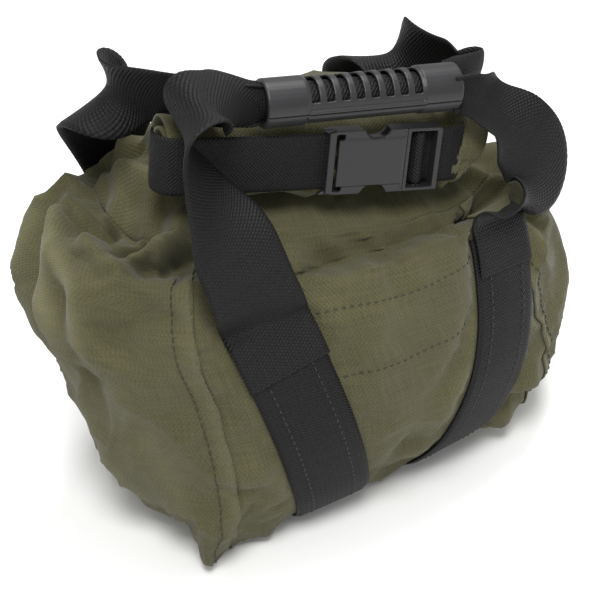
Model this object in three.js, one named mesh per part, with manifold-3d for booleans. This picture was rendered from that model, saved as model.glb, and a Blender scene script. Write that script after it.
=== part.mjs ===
// A roll-top canvas sandbag with webbing handles, for weighing down light stands and other gear.
// Millimetres, +Z up, the front of the bag towards -Y. The bag rests on its two belly straps at z = 0.
import * as THREE from "three";
import { mergeVertices } from "three/addons/utils/BufferGeometryUtils.js";
import Module from "manifold-3d";

const wasm = await Module();
wasm.setup();

// ---- driving dimensions ---------------------------------------------------------------------

const BODY_WIDTH = 316; // the filled bag at its widest, left to right
const BODY_DEPTH = 200; // front to back
const BODY_HEIGHT = 190; // from the base to the seam where the roll-top begins
const CANVAS = 1.4; // canvas with its seam allowance
const GAP = 0.3; // between pieces that touch

const WEB_WIDTH = 50; // body straps and handle loops
const WEB_THICK = 1.8;
const STRAP_LIFT = 1; // how far a body strap stands off the canvas that it is sewn to
const BAND_WIDTH = 32; // the strap that holds the roll-top shut
const BAND_THICK = 1.6;

const LINER = 0.6; // inner bag that keeps the sand from sifting out
const LINER_NECK_R = 13;

const ROLL_R = 21.3; // the rolled mouth
const ROLL_LEFT = -90; // the roll's ends, along it from the middle of the bag
const ROLL_RIGHT = 70;
const ROLL_TURNS = 2.25;
const ROLL_START = 92; // where the innermost turn begins, in degrees from the back of the roll
const STIFFENER_WIDTH = 12; // flat strip sewn in the mouth hem
const STIFFENER_THICK = 1.6;

const GRIP_LENGTH = 115; // snap-on wrap grip
const GRIP_D = 27;
const GRIP_WALL = 2.4;
const COLLAR_LENGTH = 23; // plain ring at each end of the grip
const BORE_PLAY = 0.9; // round the webbing in the grip, so that the cover can swing open
const WAIST_DROP = 0.8; // how far the slotted middle lies below the end rings
const SLOT_COUNT = 8;
const SLOT_WIDTH = 4.6;

const BUCKLE_WIDTH = 37; // side-release buckle
const BUCKLE_THICK = 9.5;
const BUCKLE_WALL = 1.8;
const HOUSING_LENGTH = 46;
const FRAME_LENGTH = 21;
const FRAME_BAR = 1.9; // side rails of the buckle's strap window
const ARM_THICK = 3.2;

// A place on or above the bag, which follows the bag's size. The numbers are for a bag of the
// usual size, in millimetres.
const USUAL = { width: 316, depth: 200, height: 190, grip: 115 };
const spot = (x, y, z) => new THREE.Vector3(
  (x * BODY_WIDTH) / USUAL.width,
  (y * BODY_DEPTH) / USUAL.depth,
  (z * BODY_HEIGHT) / USUAL.height,
);

// Where the roll-top and the grip lie, and how they are turned
const ROLL_AT = spot(0, -14, 227);
const ROLL_TURN = { yaw: -11.5, tilt: 8, pitch: -8 };
const GRIP_AT = spot(16.5, -35, 263.5);
const GRIP_TURN = { yaw: -10, tilt: 5.5, pitch: 0 };
const BUCKLE_LEFT = -3; // the buckle's left edge along the roll

// ---- colours --------------------------------------------------------------------------------

const canvas = new THREE.MeshStandardMaterial({ color: 0x5c5b3c, roughness: 0.95 });
const webbing = new THREE.MeshStandardMaterial({ color: 0x1b1a1c, roughness: 0.8 });
const plastic = new THREE.MeshStandardMaterial({ color: 0x3d3d41, roughness: 0.45 });
const film = new THREE.MeshStandardMaterial({ color: 0xc9cbc4, roughness: 0.4 });
const sand = new THREE.MeshStandardMaterial({ color: 0xb49a6c, roughness: 1 });
const card = new THREE.MeshStandardMaterial({ color: 0xd8d8d2, roughness: 0.6 });

// ---- small tools ----------------------------------------------------------------------------

const radians = THREE.MathUtils.degToRad;
const lerp = THREE.MathUtils.lerp;
const vec = (x, y, z) => new THREE.Vector3(x, y, z);

function toSolid(geometry) {
  const loose = geometry.index ? geometry.toNonIndexed() : geometry.clone();
  const bare = new THREE.BufferGeometry();
  bare.setAttribute("position", loose.getAttribute("position"));
  const merged = mergeVertices(bare, 1e-3);
  const vertProperties = new Float32Array(merged.attributes.position.array);
  const triVerts = new Uint32Array(merged.index.array);
  return new wasm.Manifold(new wasm.Mesh({ numProp: 3, vertProperties, triVerts }));
}

function toGeometry(solid) {
  const mesh = solid.getMesh();
  const geometry = new THREE.BufferGeometry();
  geometry.setAttribute("position", new THREE.BufferAttribute(mesh.vertProperties, 3));
  geometry.setIndex(new THREE.BufferAttribute(mesh.triVerts, 1));
  return geometry;
}

const cut = (geometry, ...tools) =>
  toGeometry(tools.reduce((solid, tool) => solid.subtract(toSolid(tool)), toSolid(geometry)));
const join = (geometry, ...others) =>
  toGeometry(others.reduce((solid, other) => solid.add(toSolid(other)), toSolid(geometry)));
const common = (geometry, other) => toGeometry(toSolid(geometry).intersect(toSolid(other)));

// A box given by its low and high corners.
function block(x0, x1, y0, y1, z0, z1) {
  const geometry = new THREE.BoxGeometry(x1 - x0, y1 - y0, z1 - z0);
  return geometry.translate((x0 + x1) / 2, (y0 + y1) / 2, (z0 + z1) / 2);
}

// A mesh from points and triangles, turned so that its faces look out.
function shape(points, triangles) {
  let volume = 0;
  for (const [a, b, c] of triangles) {
    volume += points[a].dot(vec(0, 0, 0).crossVectors(points[b], points[c]));
  }
  const index = volume < 0 ? triangles.map(([a, b, c]) => [a, c, b]) : triangles;
  const geometry = new THREE.BufferGeometry().setFromPoints(points);
  return geometry.setIndex(index.flat());
}

// The strip of triangles between two rows of point numbers.
function strip(low, high, closed) {
  const triangles = [];
  const count = closed ? low.length : low.length - 1;
  for (let i = 0; i < count; i++) {
    const j = (i + 1) % low.length;
    triangles.push([low[i], low[j], high[j]], [low[i], high[j], high[i]]);
  }
  return triangles;
}

const fan = (row, tip) => row.map((a, i) => [row[(i + 1) % row.length], a, tip]);
const rowsOf = (grid, start) =>
  grid.map((row, r) => row.map((_, c) => start + r * row.length + c));
const strips = (rows, closed) => rows.slice(1).flatMap((row, i) => strip(rows[i], row, closed));
const flipped = (triangles) => triangles.map(([a, b, c]) => [a, c, b]);

// An open sheet with thickness: two grids of points with a wall round their four edges.
function sheet(outer, inner) {
  const points = [...outer.flat(), ...inner.flat()];
  const top = rowsOf(outer, 0);
  const under = rowsOf(inner, outer.flat().length);
  const edge = (rows) => [
    ...rows[0],
    ...rows.slice(1).map((row) => row.at(-1)),
    ...rows.at(-1).slice(0, -1).reverse(),
    ...rows.slice(1, -1).map((row) => row[0]).reverse(),
  ];
  return shape(points, [
    ...strips(top, false),
    ...flipped(strips(under, false)),
    ...flipped(strip(edge(top), edge(under), true)),
  ]);
}

// A closed form: rows of points all the way round, with a flat fan at each end.
function closedForm(grid) {
  const rows = rowsOf(grid, 0);
  const tips = [grid[0], grid.at(-1)].map(middleOf);
  const first = grid.flat().length;
  return shape(
    [...grid.flat(), ...tips],
    [...strips(rows, true), ...fan(rows[0], first), ...flipped(fan(rows.at(-1), first + 1))],
  );
}

// A bag open at the top: two closed rows of grids joined at the rim, each with a bottom.
function openBag(outer, inner) {
  const size = outer.flat().length;
  const skin = rowsOf(outer, 0);
  const lining = rowsOf(inner, size);
  const tips = [outer[0], inner[0]].map(middleOf);
  return shape(
    [...outer.flat(), ...inner.flat(), ...tips],
    [
      ...strips(skin, true),
      ...fan(skin[0], 2 * size),
      ...flipped(strips(lining, true)),
      ...flipped(fan(lining[0], 2 * size + 1)),
      ...strip(skin.at(-1), lining.at(-1), true),
    ],
  );
}

function middleOf(points) {
  const sum = points.reduce((total, point) => total.add(point), vec(0, 0, 0));
  return sum.divideScalar(points.length);
}

function steps(from, to, count) {
  return Array.from({ length: count + 1 }, (_, i) => lerp(from, to, i / count));
}

// ---- the filled bag's outer form ------------------------------------------------------------

// Rings from the base up. up is a share of the height, left and right of half the width, front and
// back of half the depth. square is how boxy the ring is. lean drops the right side and turn brings
// it forward, because the sand lies lower there.
const BASE_UP = WEB_THICK + STRAP_LIFT;
const RINGS = [
  { up: 0, left: -0.58, right: 0.72, front: -0.52, back: 0.7, square: 4, lean: 0, turn: 0.06 },
  { up: 0.018, left: -0.66, right: 0.84, front: -0.62, back: 0.79, square: 3.7, lean: 0, turn: 0.06 },
  { up: 0.07, left: -0.74, right: 0.98, front: -0.75, back: 0.87, square: 3.3, lean: 0, turn: 0.06 },
  { up: 0.2, left: -0.82, right: 1.1, front: -0.89, back: 0.96, square: 2.9, lean: 0.01, turn: 0.04 },
  { up: 0.41, left: -0.9, right: 1.15, front: -0.96, back: 1.03, square: 2.6, lean: 0.02, turn: 0.02 },
  { up: 0.6, left: -0.96, right: 1.12, front: -0.93, back: 1.03, square: 2.4, lean: 0.04, turn: 0 },
  { up: 0.76, left: -1, right: 1.05, front: -0.84, back: 0.99, square: 2.3, lean: 0.06, turn: -0.03 },
  { up: 0.9, left: -0.92, right: 0.94, front: -0.7, back: 0.92, square: 2.3, lean: 0.08, turn: -0.08 },
  { up: 1, left: -0.73, right: 0.78, front: -0.5, back: 0.82, square: 2.4, lean: 0.1, turn: -0.13 },
  { up: 1.055, left: -0.54, right: 0.64, front: -0.04, back: 0.74, square: 2.5, lean: 0.11, turn: -0.18 },
  { up: 1.14, left: -0.4, right: 0.56, front: 0.12, back: 0.62, square: 2.5, lean: 0.11, turn: -0.2 },
  { up: 1.24, left: -0.27, right: 0.46, front: 0.2, back: 0.5, square: 2.4, lean: 0.08, turn: -0.2 },
  { up: 1.28, left: -0.12, right: 0.32, front: 0.26, back: 0.42, square: 2.2, lean: 0.06, turn: -0.2 },
];
const SEAM_LEVEL = 8; // the ring where the body panels end and the roll-top begins
const TOP_LEVEL = RINGS.length - 1;
const SIDE_LEVELS = [0, 0.5, 1, 1.5, 2, 3, 4, 5, 6, 7]; // shared, so that nested pieces stay apart

// The front left corner of the base is pulled out into an ear.
const EAR = { angle: 223, spread: 11.5, out: 36, fades: 4 };

function smooth(key, level) {
  const at = THREE.MathUtils.clamp(level, 0, TOP_LEVEL);
  const low = Math.min(Math.floor(at), TOP_LEVEL - 1);
  const ring = (i) => RINGS[THREE.MathUtils.clamp(i, 0, TOP_LEVEL)][key];
  const [a, b, c, d] = [ring(low - 1), ring(low), ring(low + 1), ring(low + 2)];
  const t = at - low;
  const bend = (c - a) * t + (2 * a - 5 * b + 4 * c - d) * t ** 2 + (3 * b - a - 3 * c + d) * t ** 3;
  return b + bend / 2;
}

function ringAt(level, inset = 0) {
  const left = (smooth("left", level) * BODY_WIDTH) / 2 + inset;
  const right = (smooth("right", level) * BODY_WIDTH) / 2 - inset;
  const front = (smooth("front", level) * BODY_DEPTH) / 2 + inset;
  const back = (smooth("back", level) * BODY_DEPTH) / 2 - inset;
  return {
    x: (left + right) / 2,
    y: (front + back) / 2,
    halfX: (right - left) / 2,
    halfY: (back - front) / 2,
    up: BASE_UP + smooth("up", level) * BODY_HEIGHT,
    square: smooth("square", level),
    lean: smooth("lean", level),
    turn: smooth("turn", level),
  };
}

const power = (value, exponent) => Math.sign(value) * Math.abs(value) ** exponent;

// The point of the bag's skin at an angle round it and a level up it.
function skin(angle, level, inset = 0, earOut = EAR.out) {
  const ring = ringAt(level, inset);
  const x = ring.x + ring.halfX * power(Math.cos(angle), 2 / ring.square);
  const y = ring.y + ring.halfY * power(Math.sin(angle), 2 / ring.square);
  const off = (THREE.MathUtils.radToDeg(angle) % 360) - EAR.angle;
  const low = Math.max(1 - (level / EAR.fades) ** 2, 0);
  const ear = earOut * low * Math.exp(-((off / EAR.spread) ** 2));
  const [outX, outY] = [Math.cos(radians(EAR.angle)), Math.sin(radians(EAR.angle))];
  return vec(x + ear * outX, y + ring.turn * x + ear * outY, ring.up - ring.lean * x);
}

// The point of the front (side -1) or back (side 1) skin above a given x.
function faceSkin(x, level, side) {
  const ring = ringAt(level);
  const share = Math.min(Math.abs((x - ring.x) / ring.halfX), 1);
  const y = ring.y + side * ring.halfY * (1 - share ** ring.square) ** (1 / ring.square);
  return vec(x, y + ring.turn * x, ring.up - ring.lean * x);
}

// The outward direction of a surface given as a function of two numbers.
function outward(surface, u, v, step = 0.01) {
  const along = surface(u + step, v).sub(surface(u - step, v));
  const low = Math.max(v - step, 0);
  const up = surface(u, Math.min(v + step, TOP_LEVEL)).sub(surface(u, low));
  const normal = along.cross(up).normalize();
  const out = surface(u, v).sub(vec(0, 0, BODY_HEIGHT / 2));
  return normal.dot(out) < 0 ? normal.negate() : normal;
}

const skinNormal = (angle, level) =>
  level === 0 ? vec(0, 0, -1) : outward(skin, angle, level);

// ---- canvas panels --------------------------------------------------------------------------

const SEAMS = { backRight: 48, backLeft: 132, frontLeft: 229, frontRight: 311 };
const SEAM_GAP_DEG = 0.12;
const BASE_INSET = 3.4; // the base panel lies this far inside the turned-in edge of the sides

function sidePanel(fromDeg, toDeg, across) {
  const angles = steps(radians(fromDeg + SEAM_GAP_DEG), radians(toDeg - SEAM_GAP_DEG), across);
  const grid = (depth) =>
    [...SIDE_LEVELS, SEAM_LEVEL].map((level) =>
      angles.map((angle) =>
        skin(angle, level).addScaledVector(skinNormal(angle, level), -depth),
      ),
    );
  return sheet(grid(0), grid(CANVAS));
}

function basePanel() {
  const outline = (z) => steps(0, 2 * Math.PI, 40).slice(0, -1)
    .map((angle) => skin(angle, 0, BASE_INSET).setZ(z));
  return closedForm([outline(BASE_UP), outline(BASE_UP + CANVAS)]);
}

// The roll-top's neck rises behind the roll and closes over the sand.
const NECK_START = SEAM_LEVEL + 0.06;
function neck() {
  const round = steps(0, 2 * Math.PI, 44).slice(0, -1);
  const rise = steps(NECK_START, TOP_LEVEL, 8);
  const grid = (depth) =>
    rise.map((level) =>
      round.map((angle) => skin(angle, level).addScaledVector(skinNormal(angle, level), -depth)),
    );
  const upsideDown = (rows) => [...rows].reverse();
  return openBag(upsideDown(grid(0)), upsideDown(grid(CANVAS)));
}

// ---- what the bag holds ---------------------------------------------------------------------

const LINER_INSET = CANVAS + 1;
const SAND_INSET = LINER_INSET + LINER + 0.6;
const LINER_SHOULDER = BASE_UP + BODY_HEIGHT * 0.985;
const LINER_NECK_TOP = LINER_SHOULDER + 26;
const LINER_NECK_AT = vec(4, 34, 0);
const ROUND = 36; // sides of the inner bag and the sand

// The inner bag doesn't reach into the ear.
const plainSkin = (angle, level) => skin(angle, level, 0, 0);
const plainNormal = (angle, level) =>
  level === 0 ? vec(0, 0, -1) : outward(plainSkin, angle, level);

function innerRing(level, depth, count) {
  return steps(0, 2 * Math.PI, count).slice(0, -1)
    .map((angle) => plainSkin(angle, level).addScaledVector(plainNormal(angle, level), -depth));
}

function neckRing(radius, z, count) {
  return steps(0, 2 * Math.PI, count).slice(0, -1)
    .map((angle) => vec(radius * Math.cos(angle), radius * Math.sin(angle), z).add(LINER_NECK_AT));
}

function liner() {
  const wall = (depth, radius, drop) => [
    ...SIDE_LEVELS.map((level) => innerRing(level, depth, ROUND)),
    neckRing(radius + 30, LINER_SHOULDER - 10 - drop, ROUND),
    neckRing(radius, LINER_SHOULDER - drop, ROUND),
    neckRing(radius, LINER_NECK_TOP, ROUND),
  ];
  return openBag(
    wall(LINER_INSET, LINER_NECK_R, 0),
    wall(LINER_INSET + LINER, LINER_NECK_R - LINER, LINER),
  );
}

function sandFill() {
  const top = LINER_SHOULDER - LINER - 4;
  return closedForm([
    ...SIDE_LEVELS.map((level) => innerRing(level, SAND_INSET, ROUND)),
    neckRing(LINER_NECK_R + 24, top - 12, ROUND),
  ]);
}

function linerTie() {
  const inner = LINER_NECK_R + GAP;
  const z = (LINER_SHOULDER + LINER_NECK_TOP) / 2;
  const profile = [[inner, -2], [inner + 1.5, -2], [inner + 1.5, 2], [inner, 2], [inner, -2]];
  const ring = new THREE.LatheGeometry(profile.map(([r, h]) => new THREE.Vector2(r, h)), 28);
  return ring.rotateX(Math.PI / 2).translate(LINER_NECK_AT.x, LINER_NECK_AT.y, z);
}

// ---- body straps: up the front, under the belly and up the back --------------------------------

// low and high are the strap's middle at the base and at the seam; ease bends the way between them.
const BODY_STRAPS = {
  left: { low: -20, high: -75, ease: 1, frontTop: 6, backTop: 7 },
  right: { low: 58, high: 98, ease: 2.2, frontTop: 7, backTop: 7 },
};
const ACROSS = steps(-0.5, 0.5, 2 * Math.round(WEB_WIDTH / 16));

function strapMiddle(strap, level) {
  const share = 1 - (1 - smooth("up", level)) ** strap.ease;
  return lerp(strap.low, strap.high, share);
}

// Points and outward directions in rows across the strap, from the front top round to the back top.
function strapRows(strap) {
  const faceRow = (level, side) => {
    const middle = strapMiddle(strap, level);
    return ACROSS.map((share) => {
      const x = middle + share * WEB_WIDTH;
      const face = (u, v) => faceSkin(u, v, side);
      const normal = level === 0 ? vec(0, 0, -1) : outward(face, x, level, 0.02);
      return { point: faceSkin(x, level, side), normal };
    });
  };
  const upTo = (top) => SIDE_LEVELS.filter((level) => level <= top);
  const front = upTo(strap.frontTop).reverse().map((level) => faceRow(level, -1));
  const back = upTo(strap.backTop).map((level) => faceRow(level, 1));
  return [...front, ...back];
}

function bodyStrap(rows) {
  const grid = (height) =>
    rows.map((row) => row.map(({ point, normal }) => point.clone().addScaledVector(normal, height)));
  return sheet(grid(STRAP_LIFT + WEB_THICK), grid(STRAP_LIFT));
}

// ---- free webbing: a flat ribbon through hand-placed stations --------------------------------

// Each station has its place, the direction across the webbing and, where it is bunched, a width.
function ribbon(stations, thick, width, count) {
  const path = new THREE.CatmullRomCurve3(stations.map(({ at }) => at), false, "centripetal");
  const value = (key, t, fallback) => {
    const at = t * (stations.length - 1);
    const low = Math.min(Math.floor(at), stations.length - 2);
    const [a, b] = [stations[low], stations[low + 1]].map((station) => station[key] ?? fallback);
    const share = THREE.MathUtils.smoothstep(at - low, 0, 1);
    return typeof a === "number" ? lerp(a, b, share) : a.clone().lerp(b, share);
  };
  const rows = steps(0, 1, count).map((t) => {
    const middle = path.getPoint(t);
    const along = path.getTangent(t);
    const across = value("across", t).normalize();
    const face = vec(0, 0, 0).crossVectors(along, across).normalize();
    return { middle, across, face, half: value("width", t, width) / 2 };
  });
  const grid = (side) =>
    rows.map(({ middle, across, face, half }) =>
      [-1, 0, 1].map((share) => middle.clone()
        .addScaledVector(across, share * half)
        .addScaledVector(face, (side * thick) / 2)),
    );
  return sheet(grid(1), grid(-1));
}

// ---- placing groups --------------------------------------------------------------------------

function turnedGroup(at, { yaw, tilt, pitch }) {
  const group = new THREE.Group();
  group.position.copy(at);
  group.rotation.set(radians(pitch), radians(tilt), radians(yaw), "ZYX");
  group.updateMatrix();
  return group;
}

const rollGroup = turnedGroup(ROLL_AT, ROLL_TURN);
const gripGroup = turnedGroup(GRIP_AT, GRIP_TURN);
const fromGrip = (x, y, z) => vec(x, y, z).applyMatrix4(gripGroup.matrix);
const gripAlong = fromGrip(1, 0, 0).sub(GRIP_AT);
const gripUp = fromGrip(0, 0, 1).sub(GRIP_AT);

// ---- handle loops ----------------------------------------------------------------------------

const BUNCHED = 19; // the webbing's width where it is folded to enter the grip
const LOOP_CLEAR = GRIP_LENGTH / 2 + GAP + 0.3;

// A loop starts where its body strap leaves the canvas and ends at the grip's end.
function loop(rows, frontEnd, stations, gripSide, gripOffset) {
  const row = frontEnd ? rows[0] : rows.at(-1);
  const next = frontEnd ? rows[1] : rows.at(-2);
  const lift = STRAP_LIFT + WEB_THICK / 2;
  const place = ({ point, normal }) => point.clone().addScaledVector(normal, lift);
  const middle = (row.length - 1) / 2;
  const [end, before] = [place(row[middle]), place(next[middle])];
  const onward = end.clone().sub(before).normalize();
  const across = place(row.at(-1)).sub(place(row[0])).normalize();
  const start = { at: end.clone().addScaledVector(onward, 4 * GAP), across };
  const leave = { at: end.clone().addScaledVector(onward, 7), across };
  const mouth = fromGrip(gripSide * LOOP_CLEAR, gripOffset, 0);
  const longer = (GRIP_LENGTH - USUAL.grip) / 2;
  const shifted = stations.map((station, i) => ({
    ...station,
    at: station.at.clone().addScaledVector(gripAlong, (gripSide * longer * (i + 1)) / stations.length),
  }));
  const finish = { at: mouth, across: gripUp, width: BUNCHED };
  const enter = {
    at: mouth.clone().addScaledVector(gripAlong, gripSide * 5),
    across: finish.across,
    width: BUNCHED,
  };
  return ribbon([start, leave, ...shifted, enter, finish], WEB_THICK, WEB_WIDTH, 30);
}

const LOOP_STATIONS = {
  front_left: [
    { at: spot(-72, -76, 183), across: vec(1, 0, -0.1) },
    { at: spot(-79, -66, 214), across: vec(0.95, -0.1, -0.25) },
    { at: spot(-89, -54, 243), across: vec(0.75, 0.5, -0.35) },
    { at: spot(-94, -44, 268), across: vec(0.4, 0.8, -0.3) },
    { at: spot(-84, -37, 288), across: vec(0, 0.95, 0.2) },
    { at: spot(-66, -35, 286), across: vec(0, 0.8, 0.6), width: 36 },
  ],
  back_left: [
    { at: spot(-82, 84, 212), across: vec(-0.95, -0.1, -0.15) },
    { at: spot(-98, 64, 244), across: vec(-0.75, 0.2, -0.5) },
    { at: spot(-107, 39, 269), across: vec(-0.4, 0.45, -0.8) },
    { at: spot(-90, 20, 270), across: vec(-0.1, 0.6, -0.75), width: 46 },
    { at: spot(-66, -2, 272), across: vec(0, 0.4, -0.9), width: 32 },
  ],
  front_right: [
    { at: spot(112, -70, 180), across: vec(0.8, 0.4, -0.3) },
    { at: spot(123, -66, 190), across: vec(0.9, 0.1, -0.3) },
    { at: spot(124, -62, 205), across: vec(0.95, 0, -0.3) },
    { at: spot(112, -58, 224), across: vec(0.8, 0.1, 0.4), width: 46 },
    { at: spot(95, -51, 240), across: vec(0.5, 0.7, 0.2), width: 34 },
  ],
  back_right: [
    { at: spot(94, 74, 200), across: vec(-0.95, 0, 0.1) },
    { at: spot(76, 58, 232), across: vec(-0.9, 0.3, 0.1) },
    { at: spot(76, 36, 249), across: vec(-0.6, 0.6, -0.4) },
    { at: spot(104, 4, 241), across: vec(-0.1, 0.5, -0.85), width: 40 },
    { at: spot(108, -22, 244), across: vec(0.3, 0.6, -0.6), width: 30 },
  ],
};

// ---- wrap grip -------------------------------------------------------------------------------

// The two shells meet on a flat plane below the middle. The grip's axis is X.
const PART_PLANE = -2.5;
const BORE_R = GRIP_D / 2 - GRIP_WALL;

function gripTube() {
  const r = GRIP_D / 2;
  const waist = r - WAIST_DROP;
  const half = GRIP_LENGTH / 2;
  const ring = half - COLLAR_LENGTH;
  const profile = [
    [BORE_R, -half], [r - 0.8, -half], [r, -half + 0.8], [r, -ring], [waist, -ring + 1],
    [waist, ring - 1], [r, ring], [r, half - 0.8], [r - 0.8, half], [BORE_R, half], [BORE_R, -half],
  ];
  const tube = new THREE.LatheGeometry(profile.map(([a, b]) => new THREE.Vector2(a, b)), 32);
  return tube.rotateZ(-Math.PI / 2);
}

// Slots through the upper shell, evenly spaced, stopping short of the snap rail.
function slotTools() {
  const pitch = (GRIP_LENGTH - 2 * COLLAR_LENGTH) / SLOT_COUNT;
  const first = -((SLOT_COUNT - 1) * pitch) / 2;
  return steps(0, SLOT_COUNT - 1, SLOT_COUNT - 1).map((i) => {
    const x = first + i * pitch;
    const low = PART_PLANE + 6;
    return block(x - SLOT_WIDTH / 2, x + SLOT_WIDTH / 2, -GRIP_D, GRIP_D / 2 - 6, low, GRIP_D);
  });
}

function snapRail(z0, z1) {
  const length = GRIP_LENGTH / 2 - COLLAR_LENGTH;
  return block(-length, length, -GRIP_D / 2 - 0.4, -BORE_R, z0, z1);
}

function gripUpper() {
  const half = common(gripTube(), block(-GRIP_LENGTH, GRIP_LENGTH, -GRIP_D, GRIP_D, PART_PLANE, GRIP_D));
  return cut(join(half, snapRail(PART_PLANE, PART_PLANE + 2)), ...slotTools());
}

function gripLower() {
  const top = PART_PLANE - GAP;
  const half = common(gripTube(), block(-GRIP_LENGTH, GRIP_LENGTH, -GRIP_D, GRIP_D, -GRIP_D, top));
  return join(half, snapRail(top - 2, top));
}

// The two handle webbings, folded and squeezed side by side through the bore.
function gripWebbing(side) {
  const r = BORE_R - BORE_PLAY;
  const bundle = new THREE.CylinderGeometry(r, r, GRIP_LENGTH, 28).rotateZ(Math.PI / 2);
  const y = side * GAP * 0.5;
  const [y0, y1] = side < 0 ? [-GRIP_D, y] : [y, GRIP_D];
  return common(bundle, block(-GRIP_LENGTH, GRIP_LENGTH, y0, y1, -GRIP_D, GRIP_D));
}

// ---- roll-top --------------------------------------------------------------------------------

// The mouth rolled up on itself: a spiral band, seen from its end, drawn out along the roll.
function rolledMouth() {
  const core = STIFFENER_WIDTH / 2 + 2 * CANVAS + 0.6;
  const count = Math.round(ROLL_TURNS * 22);
  const radius = (t) => lerp(core, ROLL_R, t);
  const side = (inset) =>
    steps(0, 1, count).map((t) => {
      const angle = radians(ROLL_START) + t * ROLL_TURNS * 2 * Math.PI;
      const r = radius(t) - inset;
      return new THREE.Vector2(r * Math.cos(angle), r * Math.sin(angle));
    });
  const outline = new THREE.Shape([...side(0), ...side(CANVAS * 2).reverse()]);
  const settings = { depth: ROLL_RIGHT - ROLL_LEFT, bevelEnabled: false, steps: 1 };
  const band = new THREE.ExtrudeGeometry(outline, settings);
  return band.translate(0, 0, ROLL_LEFT).rotateX(Math.PI / 2).rotateZ(Math.PI / 2);
}

function stiffener() {
  return block(ROLL_LEFT + 1, ROLL_RIGHT - 1, -STIFFENER_THICK / 2, STIFFENER_THICK / 2,
    -STIFFENER_WIDTH / 2, STIFFENER_WIDTH / 2);
}

// The side gusset that puffs out past the right end of the roll.
const WING_R = 16;
const WING_START = ROLL_RIGHT + 0.6;
function mouthWing() {
  const wing = new THREE.SphereGeometry(WING_R, 20, 14);
  return wing.scale(1.1, 0.9, 1.1).translate(WING_START + WING_R * 1.1, 8, -4);
}

// ---- side-release buckle, in the band's plane: X along the band, Z across it ------------------

const BAND_Y = -(ROLL_R + GAP + BUCKLE_THICK / 2);
const HOUSING_END = BUCKLE_LEFT + HOUSING_LENGTH;
const FRAME_END = HOUSING_END + FRAME_LENGTH;
const CAVITY_HALF = BUCKLE_WIDTH / 2 - BUCKLE_WALL;
const NOTCH_R = 8.5;
const NOTCH_X = BUCKLE_LEFT + HOUSING_LENGTH * 0.62;
const BAR_WIDTH = 4;
const ROOT_X = HOUSING_END - 9; // where the release arms join the male half
const ARM_LENGTH = 21;
const SPINE_HALF = 4;

// A flat plate outline in X and Z, given its thickness along Y.
function plate(outline, y0, y1) {
  const settings = { depth: y1 - y0, bevelEnabled: false, curveSegments: 10 };
  return new THREE.ExtrudeGeometry(outline, settings).rotateX(Math.PI / 2).translate(0, y1, 0);
}

function housingOutline() {
  const half = BUCKLE_WIDTH / 2;
  const reach = Math.sqrt(NOTCH_R ** 2 - (NOTCH_R * 0.35) ** 2);
  const outline = new THREE.Shape();
  outline.moveTo(BUCKLE_LEFT, -half + 1);
  outline.lineTo(BUCKLE_LEFT + 5, -half);
  outline.lineTo(NOTCH_X - reach, -half);
  outline.absarc(NOTCH_X, -half - NOTCH_R * 0.35, NOTCH_R,
    Math.PI - Math.asin(0.35), Math.asin(0.35), true);
  outline.lineTo(HOUSING_END, -half);
  outline.lineTo(HOUSING_END, half);
  outline.lineTo(NOTCH_X + reach, half);
  outline.absarc(NOTCH_X, half + NOTCH_R * 0.35, NOTCH_R,
    -Math.asin(0.35), Math.PI + Math.asin(0.35), true);
  outline.lineTo(BUCKLE_LEFT + 5, half);
  outline.lineTo(BUCKLE_LEFT, half - 1);
  outline.closePath();
  return outline;
}

const SLOT_LEFT = BUCKLE_LEFT + BAR_WIDTH;
const SLOT_RIGHT = SLOT_LEFT + 5;
const CAVITY_LEFT = SLOT_RIGHT + 3;
const halfThick = BUCKLE_THICK / 2;
const cavityHalf = halfThick - BUCKLE_WALL;

function buckleHousing() {
  const body = plate(housingOutline(), -halfThick, halfThick);
  const windowHalf = BAND_WIDTH / 2 + 0.6;
  const slot = block(SLOT_LEFT, SLOT_RIGHT, -BUCKLE_THICK, BUCKLE_THICK, -windowHalf, windowHalf);
  const cavity = block(CAVITY_LEFT, HOUSING_END + 1, -cavityHalf, cavityHalf, -CAVITY_HALF, CAVITY_HALF);
  const mouth = new THREE.CylinderGeometry(NOTCH_R, NOTCH_R, 2 * cavityHalf, 24);
  const notches = [-1, 1].map((side) =>
    mouth.clone().translate(NOTCH_X, 0, side * (BUCKLE_WIDTH / 2 + NOTCH_R * 0.35 - 2)));
  return cut(body, slot, cavity, ...notches).translate(0, BAND_Y, 0);
}

function buckleFrame() {
  const half = BUCKLE_WIDTH / 2;
  const inner = half - FRAME_BAR;
  const start = HOUSING_END + GAP;
  const frame = block(start, FRAME_END, -halfThick, halfThick, -half, half);
  const wall = start + 2.2;
  const window = block(wall, FRAME_END - 2.6, -BUCKLE_THICK, BUCKLE_THICK, -inner, inner);
  const barX = wall + 5.4;
  const bar = block(barX, barX + BAR_WIDTH, -1.8, 1.8, -half + 1, half - 1);
  const slack = cavityHalf - GAP;
  const root = block(ROOT_X, start + 1, -slack, slack, -CAVITY_HALF + 1, CAVITY_HALF - 1);
  const spine = block(CAVITY_LEFT + 4, ROOT_X + 1, -slack, slack, -SPINE_HALF, SPINE_HALF);
  return join(cut(frame, window), bar, root, spine).translate(0, BAND_Y, 0);
}

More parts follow.
